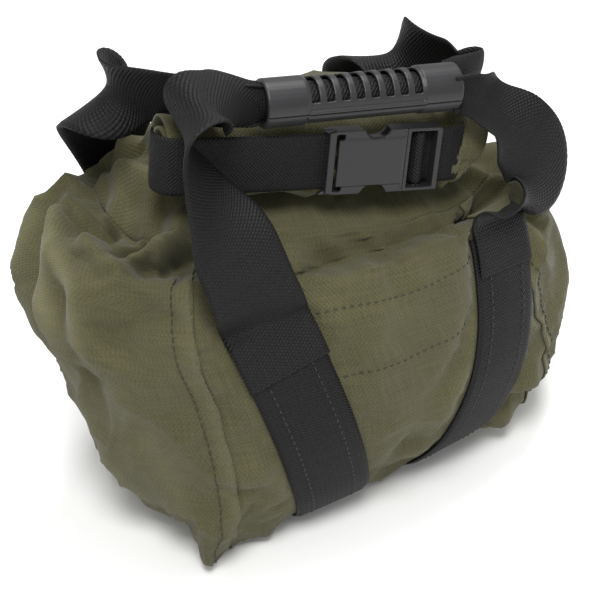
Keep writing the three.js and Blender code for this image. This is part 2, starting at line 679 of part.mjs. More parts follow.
// A springy arm with its thumb pad in the side notch. side 1 is the upper one.
function releaseArm(side) {
  const outer = CAVITY_HALF - 0.7;
  const tip = ROOT_X - ARM_LENGTH;
  const end = ROOT_X - GAP;
  const slack = cavityHalf - GAP;
  const outline = new THREE.Shape();
  outline.moveTo(end, outer - 2.4);
  outline.lineTo(end, outer - 2.4 - ARM_THICK);
  outline.lineTo(tip + 6, outer - ARM_THICK - 3.2);
  outline.lineTo(tip, outer - ARM_THICK - 3.2);
  outline.quadraticCurveTo(tip - 1.5, outer - 2, tip + 1, outer - 0.5);
  outline.quadraticCurveTo(tip + 6, outer + 1, tip + 10, outer - 2.2);
  outline.closePath();
  const arm = plate(outline, -slack, slack);
  if (side > 0) return arm.translate(0, BAND_Y, 0);
  return arm.rotateX(Math.PI).translate(0, BAND_Y, 0);
}

// ---- band ------------------------------------------------------------------------------------

const flat = vec(0, 0, 1);
const BAND_LEFT = ROLL_LEFT - 7;
const BAND_RIGHT = WING_START + 2;

// From the buckle's left bar along the roll, then in behind the roll's left end.
function bandLeft() {
  const start = BUCKLE_LEFT - GAP;
  const stations = [
    { at: vec(start, BAND_Y, 0), across: flat },
    { at: vec(start - 20, BAND_Y, 0), across: flat },
    { at: vec(BAND_LEFT + 22, BAND_Y + 2, 0), across: flat },
    { at: vec(BAND_LEFT + 5, BAND_Y + 3.5, 0), across: flat },
    { at: vec(BAND_LEFT, BAND_Y + 14, 0), across: flat },
    { at: vec(BAND_LEFT + 2, BAND_Y + 23, 0), across: flat },
  ];
  return ribbon(stations, BAND_THICK, BAND_WIDTH, 18);
}

// From the buckle's right end round towards the roll's right end.
function bandRight() {
  const stations = [
    { at: vec(FRAME_END + GAP, BAND_Y, 0), across: flat },
    { at: vec(FRAME_END + 6, BAND_Y, 0), across: flat },
    { at: vec(BAND_RIGHT + 4, BAND_Y + 1, 0), across: flat },
    { at: vec(BAND_RIGHT + 12, BAND_Y + 6, 0), across: flat },
    { at: vec(BAND_RIGHT + 12, BAND_Y + 14, 0), across: flat },
  ];
  return ribbon(stations, BAND_THICK, BAND_WIDTH, 16);
}

// The part of the band that lies over the buckle's bar inside the strap window.
function bandOverBar() {
  const start = HOUSING_END + GAP + 2.2 + GAP;
  const end = FRAME_END - 2.6 - GAP;
  const barX = start - GAP + 5.4;
  const half = BUCKLE_WIDTH / 2 - FRAME_BAR - GAP;
  const over = block(start, end, -4.6, 4.6, -half, half);
  const room = block(barX - GAP, barX + BAR_WIDTH + GAP, -1.8 - GAP, 1.8 + GAP, -BUCKLE_WIDTH, BUCKLE_WIDTH);
  const hollow = block(barX + BAR_WIDTH, end + 1, -2.9, 2.9, -BUCKLE_WIDTH, BUCKLE_WIDTH);
  return cut(over, room, hollow).translate(0, BAND_Y, 0);
}

// ---- assembly --------------------------------------------------------------------------------

const sandbag = new THREE.Group();

function add(group, name, geometry, material) {
  const mesh = new THREE.Mesh(geometry, material);
  mesh.name = name;
  group.add(mesh);
}

add(sandbag, "front_panel", sidePanel(SEAMS.frontLeft, SEAMS.frontRight, 14), canvas);
add(sandbag, "back_panel", sidePanel(SEAMS.backRight, SEAMS.backLeft, 14), canvas);
add(sandbag, "left_end_panel", sidePanel(SEAMS.backLeft, SEAMS.frontLeft, 12), canvas);
add(sandbag, "right_end_panel", sidePanel(SEAMS.frontRight, SEAMS.backRight + 360, 12), canvas);
add(sandbag, "base_panel", basePanel(), canvas);
add(sandbag, "mouth_neck", neck(), canvas);
add(sandbag, "liner_bag", liner(), film);
add(sandbag, "liner_tie", linerTie(), card);
add(sandbag, "sand_fill", sandFill(), sand);

for (const [name, strap] of Object.entries(BODY_STRAPS)) {
  const rows = strapRows(strap);
  const gripSide = name === "left" ? -1 : 1;
  add(sandbag, "belly_strap_" + name, bodyStrap(rows), webbing);
  for (const face of ["front", "back"]) {
    const stations = LOOP_STATIONS[face + "_" + name];
    const offset = (face === "front" ? -1 : 1) * BORE_R * 0.5;
    const geometry = loop(rows, face === "front", stations, gripSide, offset);
    add(sandbag, "handle_loop_" + face + "_" + name, geometry, webbing);
  }
}

sandbag.add(gripGroup);
add(gripGroup, "grip_upper_shell", gripUpper(), plastic);
add(gripGroup, "grip_lower_shell", gripLower(), plastic);
add(gripGroup, "grip_webbing_front", gripWebbing(-1), webbing);
add(gripGroup, "grip_webbing_back", gripWebbing(1), webbing);

sandbag.add(rollGroup);
add(rollGroup, "rolled_mouth", rolledMouth(), canvas);
add(rollGroup, "mouth_stiffener", stiffener(), card);
add(rollGroup, "mouth_wing", mouthWing(), canvas);
add(rollGroup, "buckle_housing", buckleHousing(), plastic);
add(rollGroup, "buckle_frame", buckleFrame(), plastic);
add(rollGroup, "release_arm_upper", releaseArm(1), plastic);
add(rollGroup, "release_arm_lower", releaseArm(-1), plastic);
add(rollGroup, "roll_band_left", bandLeft(), webbing);
add(rollGroup, "roll_band_right", bandRight(), webbing);
add(rollGroup, "roll_band_buckle_turn", bandOverBar(), webbing);

// The origin is the middle of the base of the whole object's box.
const box = new THREE.Box3().setFromObject(sandbag, true);
sandbag.position.set(-(box.min.x + box.max.x) / 2, -(box.min.y + box.max.y) / 2, -box.min.z);

export default sandbag;
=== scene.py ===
"""The looks of a roll-top canvas sandbag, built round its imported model.

Each operator makes one piece, or one group of like pieces. Lengths are in millimetres in the bag's
own frame, and to_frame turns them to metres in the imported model's frame when a mesh is made.
"""
import math

import bmesh
import bpy
import numpy as np
from mathutils import Euler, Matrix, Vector, noise


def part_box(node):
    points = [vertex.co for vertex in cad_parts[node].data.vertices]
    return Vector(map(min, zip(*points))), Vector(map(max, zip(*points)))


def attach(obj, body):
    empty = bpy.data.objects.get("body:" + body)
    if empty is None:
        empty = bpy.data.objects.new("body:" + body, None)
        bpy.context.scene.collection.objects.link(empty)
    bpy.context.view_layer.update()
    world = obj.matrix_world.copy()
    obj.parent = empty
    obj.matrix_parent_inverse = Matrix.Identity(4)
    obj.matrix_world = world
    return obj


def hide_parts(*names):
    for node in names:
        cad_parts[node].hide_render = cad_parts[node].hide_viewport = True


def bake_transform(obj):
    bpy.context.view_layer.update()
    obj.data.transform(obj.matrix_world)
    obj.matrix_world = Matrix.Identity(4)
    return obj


bl_info = {
    "name": "Canvas Sandbag",
    "version": (1, 0, 0),
    "blender": (4, 5, 0),
    "location": "3D View > Sidebar > Sandbag",
    "description": "Makes a roll-top canvas sandbag with webbing handles, a wrap grip and a buckled band",
    "category": "Object",
}

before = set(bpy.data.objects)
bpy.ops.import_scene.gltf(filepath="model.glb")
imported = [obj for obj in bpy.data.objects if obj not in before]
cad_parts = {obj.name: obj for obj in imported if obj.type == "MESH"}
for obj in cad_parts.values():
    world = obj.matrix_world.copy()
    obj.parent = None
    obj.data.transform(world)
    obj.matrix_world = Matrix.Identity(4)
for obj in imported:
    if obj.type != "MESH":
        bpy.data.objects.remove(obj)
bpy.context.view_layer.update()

# ---- the bag's own frame --------------------------------------------------------------------

GRIP_AT = np.array([16.5, -35.0, 263.5])
ROLL_AT = np.array([0.0, -14.0, 227.0])


def grip_middle():
    boxes = [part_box("grip_upper_shell"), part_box("grip_lower_shell")]
    low = np.min([np.array(b[0]) for b in boxes], axis=0)
    high = np.max([np.array(b[1]) for b in boxes], axis=0)
    return (low + high) / 2 * 1000


SHIFT = grip_middle() - GRIP_AT  # from the bag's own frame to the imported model's


def to_frame(points):
    return (np.asarray(points, float) + SHIFT) / 1000


def turned(at, yaw, tilt, pitch):
    """A function that takes points from a turned group's frame to the bag's."""
    turn = Euler([math.radians(a) for a in (pitch, tilt, yaw)], "XYZ").to_matrix()
    matrix = np.array(turn)
    return lambda points: np.asarray(points, float) @ matrix.T + at


from_grip = turned(GRIP_AT, -10, 5.5, 0)
from_roll = turned(ROLL_AT, -11.5, 8, -8)

# ---- sizes and colours a user would change ------------------------------------------------------


def hex_color(text):
    """A colour written as sRGB hex, as linear red, green and blue."""
    srgb = [int(text[i : i + 2], 16) / 255 for i in (1, 3, 5)]
    return [c / 12.92 if c <= 0.04045 else ((c + 0.055) / 1.055) ** 2.4 for c in srgb]


def length(name, default, text):
    return bpy.props.FloatProperty(
        name=name, default=default, description=text, unit="LENGTH", subtype="DISTANCE", precision=5
    )


def color(name, default, text):
    return bpy.props.FloatVectorProperty(
        name=name, default=hex_color(default), description=text, subtype="COLOR", min=0, max=1, size=3
    )


class SandbagSizes(bpy.types.PropertyGroup):
    """Sizes of the cloth and webbing."""

    canvas: length("Canvas", 0.0012, "Thickness of the canvas")
    thread: length("Canvas thread", 0.0013, "Spacing of the canvas threads, coarse enough to show")
    webbing: length("Webbing", 0.0019, "Thickness of the handle webbing")
    rib: length("Webbing rib", 0.0021, "Spacing of the ribs across the webbing")
    stitch: length("Stitch", 0.0036, "Length of one stitch")


class SandbagColors(bpy.types.PropertyGroup):
    """Colours of the materials."""

    canvas: color("Canvas", "#4d4b33", "Olive drab cotton")
    canvas_worn: color("Worn canvas", "#78765c", "Canvas where a fold has rubbed it pale")
    webbing: color("Webbing", "#0f0f10", "Black polypropylene")
    plastic: color("Plastic", "#1f1f21", "Dark grey moulded plastic")
    floor: color("Floor", "#f4f4f3", "Plain pale floor")


# ---- the filled bag's skin ---------------------------------------------------------------------

BODY_WIDTH, BODY_DEPTH, BODY_HEIGHT = 316.0, 200.0, 190.0
BASE_UP = 2.8  # the canvas stands this far off the floor, on its belly straps
# Rings from the base up: up, left, right, front, back, square, lean, turn. Each is a share of the
# height or of half the width or depth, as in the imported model.
RINGS = np.array([
    (0, -0.58, 0.72, -0.52, 0.7, 4, 0, 0.06),
    (0.018, -0.66, 0.84, -0.62, 0.79, 3.7, 0, 0.06),
    (0.07, -0.74, 0.98, -0.75, 0.87, 3.3, 0, 0.06),
    (0.2, -0.82, 1.1, -0.89, 0.96, 2.9, 0.01, 0.04),
    (0.41, -0.9, 1.15, -0.96, 1.03, 2.6, 0.02, 0.02),
    (0.6, -0.96, 1.12, -0.93, 1.03, 2.4, 0.04, 0),
    (0.76, -1, 1.05, -0.84, 0.99, 2.3, 0.06, -0.03),
    (0.9, -0.92, 0.94, -0.7, 0.92, 2.3, 0.08, -0.08),
    (1, -0.73, 0.78, -0.5, 0.82, 2.4, 0.1, -0.13),
    (1.055, -0.54, 0.64, -0.04, 0.74, 2.5, 0.11, -0.18),
    (1.14, -0.4, 0.56, 0.12, 0.62, 2.5, 0.11, -0.2),
    (1.24, -0.27, 0.46, 0.2, 0.5, 2.4, 0.08, -0.2),
    (1.28, -0.12, 0.32, 0.26, 0.42, 2.2, 0.06, -0.2),
])
TOP_LEVEL = len(RINGS) - 1
SEAM_LEVEL = 8.0  # where the body panels end and the roll-top begins
EAR_ANGLE, EAR_SPREAD, EAR_OUT, EAR_FADES = 223, 11.5, 36, 4


def ring_values(level):
    """The ring's eight shares at a level, smoothly between the rings above and below it."""
    at = np.clip(level, 0, TOP_LEVEL)
    low = np.minimum(np.floor(at).astype(int), TOP_LEVEL - 1)
    a, b, c, d = (RINGS[np.clip(low + k, 0, TOP_LEVEL)] for k in (-1, 0, 1, 2))
    t = (at - low)[..., None]
    bend = (c - a) * t + (2 * a - 5 * b + 4 * c - d) * t**2 + (3 * b - a - 3 * c + d) * t**3
    values = np.moveaxis(b + bend / 2, -1, 0)
    scale = [1, BODY_WIDTH / 2, BODY_WIDTH / 2, BODY_DEPTH / 2, BODY_DEPTH / 2, 1, 1, 1]
    return [value * s for value, s in zip(values, scale)]


def power(value, exponent):
    return np.sign(value) * np.abs(value) ** exponent


def skin(degrees, level):
    """Points of the smooth bag at angles round it and levels up it."""
    degrees, level = np.broadcast_arrays(np.asarray(degrees, float), np.asarray(level, float))
    up, left, right, front, back, square, lean, turn = ring_values(level)
    angle = np.radians(degrees)
    x = (left + right) / 2 + (right - left) / 2 * power(np.cos(angle), 2 / square)
    y = (front + back) / 2 + (back - front) / 2 * power(np.sin(angle), 2 / square)
    low = np.maximum(1 - (level / EAR_FADES) ** 2, 0)
    ear = EAR_OUT * low * np.exp(-(((degrees % 360) - EAR_ANGLE) / EAR_SPREAD) ** 2)
    out_x, out_y = math.cos(math.radians(EAR_ANGLE)), math.sin(math.radians(EAR_ANGLE))
    z = BASE_UP + up * BODY_HEIGHT - lean * x
    return np.stack([x + ear * out_x, y + turn * x + ear * out_y, z], -1)


def face_skin(x, level, side):
    """Points of the front (side -1) or back (side 1) above given x."""
    x, level = np.broadcast_arrays(np.asarray(x, float), np.asarray(level, float))
    up, left, right, front, back, square, lean, turn = ring_values(level)
    share = np.minimum(np.abs((x - (left + right) / 2) / ((right - left) / 2)), 1)
    y = (front + back) / 2 + side * (back - front) / 2 * (1 - share**square) ** (1 / square)
    return np.stack([x, y + turn * x, BASE_UP + up * BODY_HEIGHT - lean * x], -1)


def unit(vectors):
    return vectors / np.maximum(np.linalg.norm(vectors, axis=-1, keepdims=True), 1e-9)


def grid_normals(points, closed, middle):
    """Normals of a grid of points, facing away from a middle point. closed grids join sideways."""
    if closed:
        across = np.roll(points, -1, 1) - np.roll(points, 1, 1)
    else:
        across = np.gradient(points, axis=1)
    normals = unit(np.cross(across, np.gradient(points, axis=0)))
    facing = np.sum(normals * (points - middle), axis=-1, keepdims=True)
    return normals * np.where(facing.mean() < 0, -1, 1)


# ---- folds: dents and ridges drawn on the bag -------------------------------------------------------

# Creases: points as (degrees round the bag, level up it), then depth, half width and a share of wear
# along it. A negative depth is a ridge.
CREASES = [
    ([(162, 8.2), (176, 8.0), (182, 7.6), (184, 7.3)], 9, 7, 0),
    ([(184, 7.7), (188, 7.8), (193, 8.0), (203, 8.0), (212, 7.95)], 7, 8, 0),
    ([(204, 7.4), (205, 7.6), (208, 7.7), (212, 7.9), (217, 8.0)], 6, 4, 0),
    ([(206, 7.35), (210, 7.55), (216, 7.75), (221, 7.9)], -5, 6, 0.3),
    ([(222, 7.25), (222, 7.5), (224, 7.7)], 4, 3, 0),
    ([(219, 7.35), (220, 7.6)], -3, 5, 0),
    ([(226, 7.3), (226, 7.6), (229, 7.8), (234, 7.85)], 6, 7, 0),
    ([(174, 7.6), (179, 7.2), (182, 6.9), (184, 6.4), (188, 6.0), (190, 5.4)], -4.5, 8, 1),
    ([(181, 7.3), (189, 6.9), (196, 6.6), (198, 6.1), (199, 5.5)], -3.5, 7, 1),
    ([(185, 7.1), (191, 6.5), (192, 5.8), (194, 5.0), (197, 4.2)], 4, 10, 0),
    ([(176, 6.8), (178, 6.2), (181, 5.6), (184, 5.0)], 3, 9, 0),
    ([(220, 6.9), (216, 6.5), (211, 6.1), (205, 5.8)], 5, 16, 0),
    ([(205, 5.0), (210, 4.3), (213, 3.4), (214, 2.4)], 2.5, 12, 0.3),
    ([(196, 3.6), (200, 2.8), (206, 2.0), (211, 1.4)], 4, 10, 0),
    ([(185, 4.2), (192, 3.4), (199, 2.6)], -3, 10, 0.4),
    ([(247, 2.9), (251, 3.2), (256, 3.6), (262, 4.1)], 3.5, 7, 0),
    ([(240, 4.3), (245, 4.1), (250, 4.0)], 3, 8, 0),
    ([(286, 3.3), (290, 3.1), (297, 3.0), (312, 2.9)], 5, 8, 0),
    ([(274, 3.9), (278, 4.2), (284, 4.6), (290, 5.2)], -2.5, 8, 0.4),
    ([(268, 2.6), (276, 2.9), (286, 2.7), (296, 2.4)], -3, 9, 0.3),
    ([(262, 3.0), (272, 2.3), (284, 2.0)], 3.5, 8, 0),
    ([(320, 7.6), (325, 7.2), (326, 6.8), (326, 6.3)], 5, 6, 0),
    ([(330, 7.7), (333, 7.2), (332, 6.6)], -4, 7, 0.5),
    ([(300, 7.3), (312, 7.5), (322, 7.8)], 6, 5, 0),
    ([(340, 7.6), (346, 6.9), (350, 6.1), (350, 5.2)], 5, 9, 0),
    ([(355, 7.4), (362, 6.6), (366, 5.7)], -4, 9, 0.7),
    ([(372, 7.6), (378, 6.9), (380, 6.2), (386, 5.4)], 5, 9, 0),
    ([(345, 4.4), (352, 3.6), (362, 3.0), (374, 2.6)], 4, 10, 0),
    ([(372, 4.2), (380, 3.4), (390, 2.8)], -3, 10, 0.4),
    ([(392, 7.3), (398, 6.5), (400, 5.6)], 4, 9, 0),
    ([(60, 7.3), (72, 6.9), (84, 6.8)], 5, 9, 0),
    ([(96, 6.9), (108, 7.2), (120, 7.0)], 4, 8, 0),
    ([(70, 5.0), (84, 4.6), (98, 4.8), (112, 4.4)], 3, 12, 0.2),
    ([(64, 3.2), (78, 2.7), (92, 2.8)], 4, 10, 0),
    ([(100, 2.9), (112, 2.5), (124, 2.8)], -3, 9, 0.3),
    ([(140, 7.5), (146, 6.9), (150, 6.2), (156, 5.7)], 6, 9, 0),
    ([(154, 7.2), (160, 6.6), (163, 5.9)], -4, 8, 0.7),
    ([(138, 4.4), (146, 3.6), (156, 3.1), (168, 2.9)], 4, 10, 0),
]
# Folded edges, over which the cloth above is tucked: the edge's line, how far the cloth below
# stands out and the cloth above falls in, and how far each reaches.
TUCKS = [
    ([(178, 7.85), (182, 7.7), (190, 7.6), (197, 7.5), (205, 7.4), (216, 7.2), (228, 7.2),
      (240, 7.25)], 4, 9, 30, 22),
    ([(254, 7.0), (260, 7.1), (268, 7.1), (284, 7.35), (300, 7.4), (318, 7.55), (330, 7.6)], 4, 8, 26, 20),
    ([(336, 7.7), (352, 7.5), (372, 7.45), (396, 7.5)], 3, 6, 24, 16),
    ([(54, 7.7), (80, 7.6), (104, 7.65), (128, 7.6)], 3, 6, 24, 16),
    ([(132, 7.6), (146, 7.75), (162, 7.85)], 3, 7, 24, 16),
]
MM_PER_LEVEL = 24.0  # about how far one level is up the cloth near the seam


def smooth_line(points, count=60):
    """Points along a soft line through a few given ones."""
    points = np.asarray(points, float)
    t = np.linspace(0, len(points) - 1, count)
    low = np.minimum(t.astype(int), len(points) - 2)
    padded = np.vstack([2 * points[0] - points[1], points, 2 * points[-1] - points[-2]])
    a, b, c, d = (padded[low + k] for k in range(4))
    f = (t - low)[:, None]
    return b + ((c - a) * f + (2 * a - 5 * b + 4 * c - d) * f**2 + (3 * b - a - 3 * c + d) * f**3) / 2


def crease_depth(points, line, depth, width):
    """How far a crease moves each point, and how near it is, from 0 to 1."""
    path = smooth_line(line)
    path = skin(path[:, 0], path[:, 1])
    away = np.full(points.shape[:-1], 1e9)
    share = np.zeros(points.shape[:-1])
    for i, spot in enumerate(path):
        distance = np.linalg.norm(points - spot, axis=-1)
        nearer = distance < away
        away = np.where(nearer, distance, away)
        share = np.where(nearer, i / (len(path) - 1), share)
    taper = np.clip(4 * share * (1 - share) + 0.15, 0, 1) ** 0.6
    near = np.exp(-((away / width) ** 2)) * taper
    shoulder = 0.35 * np.exp(-(((away - 2 * width) / width) ** 2)) * taper
    return -depth * (near - shoulder), near


def tuck_depth(degrees, level, line, out, fall, reach_below, reach_above):
    """How far a folded edge moves each point of the grid."""
    line = np.asarray(line, float)
    span = line[-1, 0] - line[0, 0]
    along = (degrees - line[0, 0]) % 360
    inside = np.clip(np.minimum(along, span - along) / (0.14 * span), 0, 1)
    inside = np.where(along > span, 0, inside * inside * (3 - 2 * inside))
    edge = np.interp(along, line[:, 0] - line[0, 0], line[:, 1])
    above = (level - edge) * MM_PER_LEVEL
    below_shape = out * np.exp(-((above / reach_below) ** 2))
    above_shape = -fall * np.exp(-((above / reach_above) ** 2))
    soft = 1 / (1 + np.exp(-np.clip(above / 0.9, -30, 30)))
    return inside * (below_shape * (1 - soft) + above_shape * soft)


# ---- straps on the body --------------------------------------------------------------------------

WEB_WIDTH = 50.0
STRAP_LIFT = 0.7  # under side of a body strap above the smooth skin
STRAPS = {
    "left": {"low": -20, "high": -75, "ease": 1.0, "front_top": 6.2, "back_top": 7.0},
    "right": {"low": 58, "high": 98, "ease": 2.2, "front_top": 7.0, "back_top": 7.0},
}


def strap_middle(strap, level):
    up = ring_values(np.asarray(level, float))[0]
    share = 1 - np.clip(1 - up, 0, None) ** strap["ease"]
    return strap["low"] + (strap["high"] - strap["low"]) * share


def strap_cover(points, degrees, level):
    """1 where a strap lies on the canvas, falling to 0 beside it, and the swelling next to it."""
    cover = np.zeros(points.shape[:-1])
    swell = np.zeros(points.shape[:-1])
    front = (degrees % 360 > 180)
    for strap in STRAPS.values():
        away = np.abs(points[..., 0] - strap_middle(strap, level))
        top = np.where(front, strap["front_top"], strap["back_top"])
        fade = np.clip((top + 0.5 - level) / 0.5, 0, 1)
        cover = np.maximum(cover, fade * np.clip((35 - away) / 9, 0, 1))
        swell = np.maximum(swell, fade * np.exp(-(((away - 46) / 14) ** 2)))
    return cover, swell


def ridged(points, size, seed):
    """Soft ridges of about a size, from 0 to 1, for each point of a grid."""
    flat = points.reshape(-1, 3) / size + seed
    values = [1 - abs(noise.noise(Vector(p))) * 2.2 for p in flat]
    return np.clip(np.array(values), 0, 1).reshape(points.shape[:-1]) ** 3


def wavy(points, size, seed):
    flat = points.reshape(-1, 3) / size + seed
    return np.array([noise.noise(Vector(p)) for p in flat]).reshape(points.shape[:-1])


ROWS, COLS = 120, 288
# Degrees round the bag that each panel spans. Its ends are the upright seams.
SPANS = {"back_panel": (48, 132), "left_end_panel": (132, 229), "front_panel": (229, 311),
         "right_end_panel": (311, 408)}


FOLD_STRENGTH = 1.75  # deepens every crease and tuck alike


class BagSurface:
    """The canvas of the body as a fine closed grid: base ring at the bottom, seam at the top."""

    def __init__(self):
        columns = []
        for low, high in SPANS.values():
            count = round(COLS * (high - low) / 360)
            columns += list(np.linspace(low, high, count, endpoint=False))
        self.degrees = np.array(columns)
        self.levels = np.concatenate([np.linspace(0, 2, 22, endpoint=False),
                                      np.linspace(2, 6, 48, endpoint=False),
                                      np.linspace(6, SEAM_LEVEL, ROWS - 70)])
        degrees, level = np.meshgrid(self.degrees, self.levels)
        base = skin(degrees, level)
        middle = np.array([0, 0, BODY_HEIGHT / 2])
        normals = grid_normals(base, True, middle)
        move, self.wear = self.folds(base, degrees, level)
        cover, swell = strap_cover(base, degrees, level)
        ends = np.clip(level / 0.6, 0, 1)
        move = (move * (1 - cover) + 2.5 * swell * (1 - cover)) * ends
        self.points = base + normals * move[..., None]
        self.points = settled(self.points, cover, level)
        self.normals = grid_normals(self.points, True, middle)
        self.wear = self.wear * (1 - cover)

    def folds(self, base, degrees, level):
        move = np.zeros(base.shape[:-1])
        wear = np.zeros(base.shape[:-1])
        for line, depth, width, worn in CREASES:
            shift, near = crease_depth(base, line, depth, width)
            move += shift * FOLD_STRENGTH
            wear = np.maximum(wear, worn * near**2)
        for tuck in TUCKS:
            move += tuck_depth(degrees, level, *tuck) * FOLD_STRENGTH
        quiet = np.where((degrees > 236) & (degrees < 300) & (level > 3.5) & (level < 7), 0.35, 1)
        move += quiet * (5.0 * ridged(base, 74, 3.1) + 2.6 * ridged(base, 36, 8.7) - 2.4)
        move += 2.2 * wavy(base, 60, 5.5) * quiet
        return move, wear

    def at(self, degrees, level):
        """Points and normals of the finished canvas at angles and levels."""
        degrees = (np.asarray(degrees, float) - self.degrees[0]) % 360 + self.degrees[0]
        turns = np.append(self.degrees, self.degrees[0] + 360)
        column = np.interp(degrees, turns, np.arange(len(turns)))
        row = np.interp(level, self.levels, np.arange(len(self.levels)))
        return [blend_grid(grid, row, column) for grid in (self.points, self.normals)]


def blend_grid(grid, row, column):
    rows, columns = grid.shape[:2]
    r0 = np.clip(np.floor(row).astype(int), 0, rows - 2)
    c0 = np.floor(column).astype(int) % columns
    c1 = (c0 + 1) % columns
    f, g = (row - r0)[..., None], (column - np.floor(column))[..., None]
    low = grid[r0, c0] * (1 - g) + grid[r0, c1] * g
    high = grid[r0 + 1, c0] * (1 - g) + grid[r0 + 1, c1] * g
    return low * (1 - f) + high * f


SETTLE_STEP = 2  # the cloth is simulated on every second row and column
SETTLE_CAP = 5.0
SETTLE_FRAMES = 14


def settled(points, cover, level):
    """The canvas after a short cloth simulation: it is pushed out by the sand and buckles a little."""
    coarse = points[::SETTLE_STEP, ::SETTLE_STEP]
    rows, columns = coarse.shape[:2]
    mesh = bpy.data.meshes.new("canvas_settling")
    faces = [(r * columns + c, r * columns + (c + 1) % columns,
              (r + 1) * columns + (c + 1) % columns, (r + 1) * columns + c)
             for r in range(rows - 1) for c in range(columns)]
    mesh.from_pydata((coarse.reshape(-1, 3) / 1000).tolist(), [], faces)
    cloth_object = bpy.data.objects.new("canvas_settling", mesh)
    bpy.context.scene.collection.objects.link(cloth_object)
    pins = cloth_object.vertex_groups.new(name="held")
    held = np.maximum(cover[::SETTLE_STEP, ::SETTLE_STEP], 0).copy()
    low = np.clip(1 - level[::SETTLE_STEP, ::SETTLE_STEP] / 1.2, 0, 1)
    held = np.maximum(held, low)
    held[-1] = 1
    for i, weight in enumerate(held.ravel()):
        pins.add([i], float(weight), "REPLACE")
    cloth = cloth_object.modifiers.new("cloth", "CLOTH")
    cloth.settings.quality = 5
    cloth.settings.mass = 0.3
    cloth.settings.tension_stiffness = 40
    cloth.settings.compression_stiffness = 40
    cloth.settings.bending_stiffness = 0.6
    cloth.settings.shrink_min = -0.035
    cloth.settings.vertex_group_mass = "held"
    cloth.settings.use_pressure = True
    cloth.settings.uniform_pressure_force = 2.0
    cloth.settings.effector_weights.gravity = 0
    cloth.point_cache.frame_start = 1
    cloth.point_cache.frame_end = SETTLE_FRAMES
    for number in range(1, SETTLE_FRAMES + 1):
        bpy.context.scene.frame_set(number)
    shape = cloth_object.evaluated_get(bpy.context.evaluated_depsgraph_get()).data
    moved = np.empty(len(mesh.vertices) * 3)
    shape.vertices.foreach_get("co", moved)
    bpy.data.objects.remove(cloth_object)
    bpy.context.scene.frame_set(1)
    shift = moved.reshape(coarse.shape) * 1000 - coarse
    far = np.linalg.norm(shift, axis=-1, keepdims=True)
    shift *= np.minimum(far, SETTLE_CAP) / np.maximum(far, 1e-6)
    row, column = np.meshgrid(np.arange(points.shape[0]) / SETTLE_STEP,
                              np.arange(points.shape[1]) / SETTLE_STEP, indexing="ij")
    row = np.minimum(row, rows - 1)
    return points + blend_grid(shift, row, column)


# ---- making meshes ---------------------------------------------------------------------------------


def new_object(name, points, faces, material, uvs=None, attributes=None):
    """A mesh object from points in the bag's own frame. uvs has one pair for each point, in mm."""
    mesh = bpy.data.meshes.new(name)
    mesh.from_pydata(to_frame(points).tolist(), [], [tuple(map(int, f)) for f in faces])
    if uvs is not None:
        layer = mesh.uv_layers.new(name="UVMap")
        corner = np.empty(len(mesh.loops), np.int32)
        mesh.loops.foreach_get("vertex_index", corner)
        layer.data.foreach_set("uv", np.asarray(uvs, np.float32)[corner].ravel() / 1000)
    for key, values in (attributes or {}).items():
        mesh.attributes.new(key, "FLOAT", "POINT").data.foreach_set("value", np.ravel(values))
    mesh.shade_smooth()
    outward_faces(mesh)
    made = bpy.data.objects.new(name, mesh)
    bpy.context.scene.collection.objects.link(made)
    mesh.materials.append(material)
    return made


def outward_faces(mesh):
    work = bmesh.new()
    work.from_mesh(mesh)
    if work.calc_volume(signed=True) < 0:
        bmesh.ops.reverse_faces(work, faces=work.faces)
        work.to_mesh(mesh)
    work.free()


def grid_faces(rows, columns, start=0, closed=False, flip=False):
    r, c = np.meshgrid(np.arange(rows - 1), np.arange(columns if closed else columns - 1), indexing="ij")
    n = (c + 1) % columns
    quads = np.stack([r * columns + c, r * columns + n, (r + 1) * columns + n, (r + 1) * columns + c], -1)
    quads = quads.reshape(-1, 4) + start
    return quads[:, ::-1] if flip else quads


def rim(rows, columns):
    """Point numbers round the edge of a grid."""
    top = [(0, c) for c in range(columns)]
    right = [(r, columns - 1) for r in range(1, rows)]
    bottom = [(rows - 1, c) for c in range(columns - 2, -1, -1)]
    left = [(r, 0) for r in range(rows - 2, 0, -1)]
    return np.array([r * columns + c for r, c in top + right + bottom + left])


def sheet_object(name, outer, inner, material, uvs, attributes=None):
    """An open sheet of cloth with thickness, from the grids of its two faces."""
    rows, columns = outer.shape[:2]
    size = rows * columns
    edge = rim(rows, columns)
    after = np.roll(edge, -1)
    walls = np.stack([edge, after, after + size, edge + size], -1)[:, ::-1]
    faces = np.vstack([grid_faces(rows, columns), grid_faces(rows, columns, size, flip=True), walls])
    points = np.vstack([outer.reshape(-1, 3), inner.reshape(-1, 3)])
    both = np.vstack([uvs.reshape(-1, 2)] * 2)
    doubled = {key: np.tile(np.ravel(values), 2) for key, values in (attributes or {}).items()}
    return new_object(name, points, faces, material, both, doubled)


def closed_object(name, grid, material, uvs=None):
    """A closed form from rows of points all the way round, with a flat end at each end."""
    rows, columns = grid.shape[:2]
    size = rows * columns
    ends = np.array([grid[0].mean(0), grid[-1].mean(0)])
    first = [(c, size, (c + 1) % columns) for c in range(columns)]
    last_row = (rows - 1) * columns
    last = [(last_row + c, last_row + (c + 1) % columns, size + 1) for c in range(columns)]
    faces = list(grid_faces(rows, columns, closed=True)) + first + last
    points = np.vstack([grid.reshape(-1, 3), ends])
    if uvs is not None:
        uvs = np.vstack([uvs.reshape(-1, 2), uvs[0].mean(0), uvs[-1].mean(0)])
    return new_object(name, points, faces, material, uvs)


def run_lengths(points, axis):
    """How far along a grid each point is, in mm, measured on the middle row or column."""
    steps = np.linalg.norm(np.diff(points, axis=axis), axis=-1)
    return np.concatenate([np.zeros_like(np.take(steps, [0], axis)), np.cumsum(steps, axis)], axis)


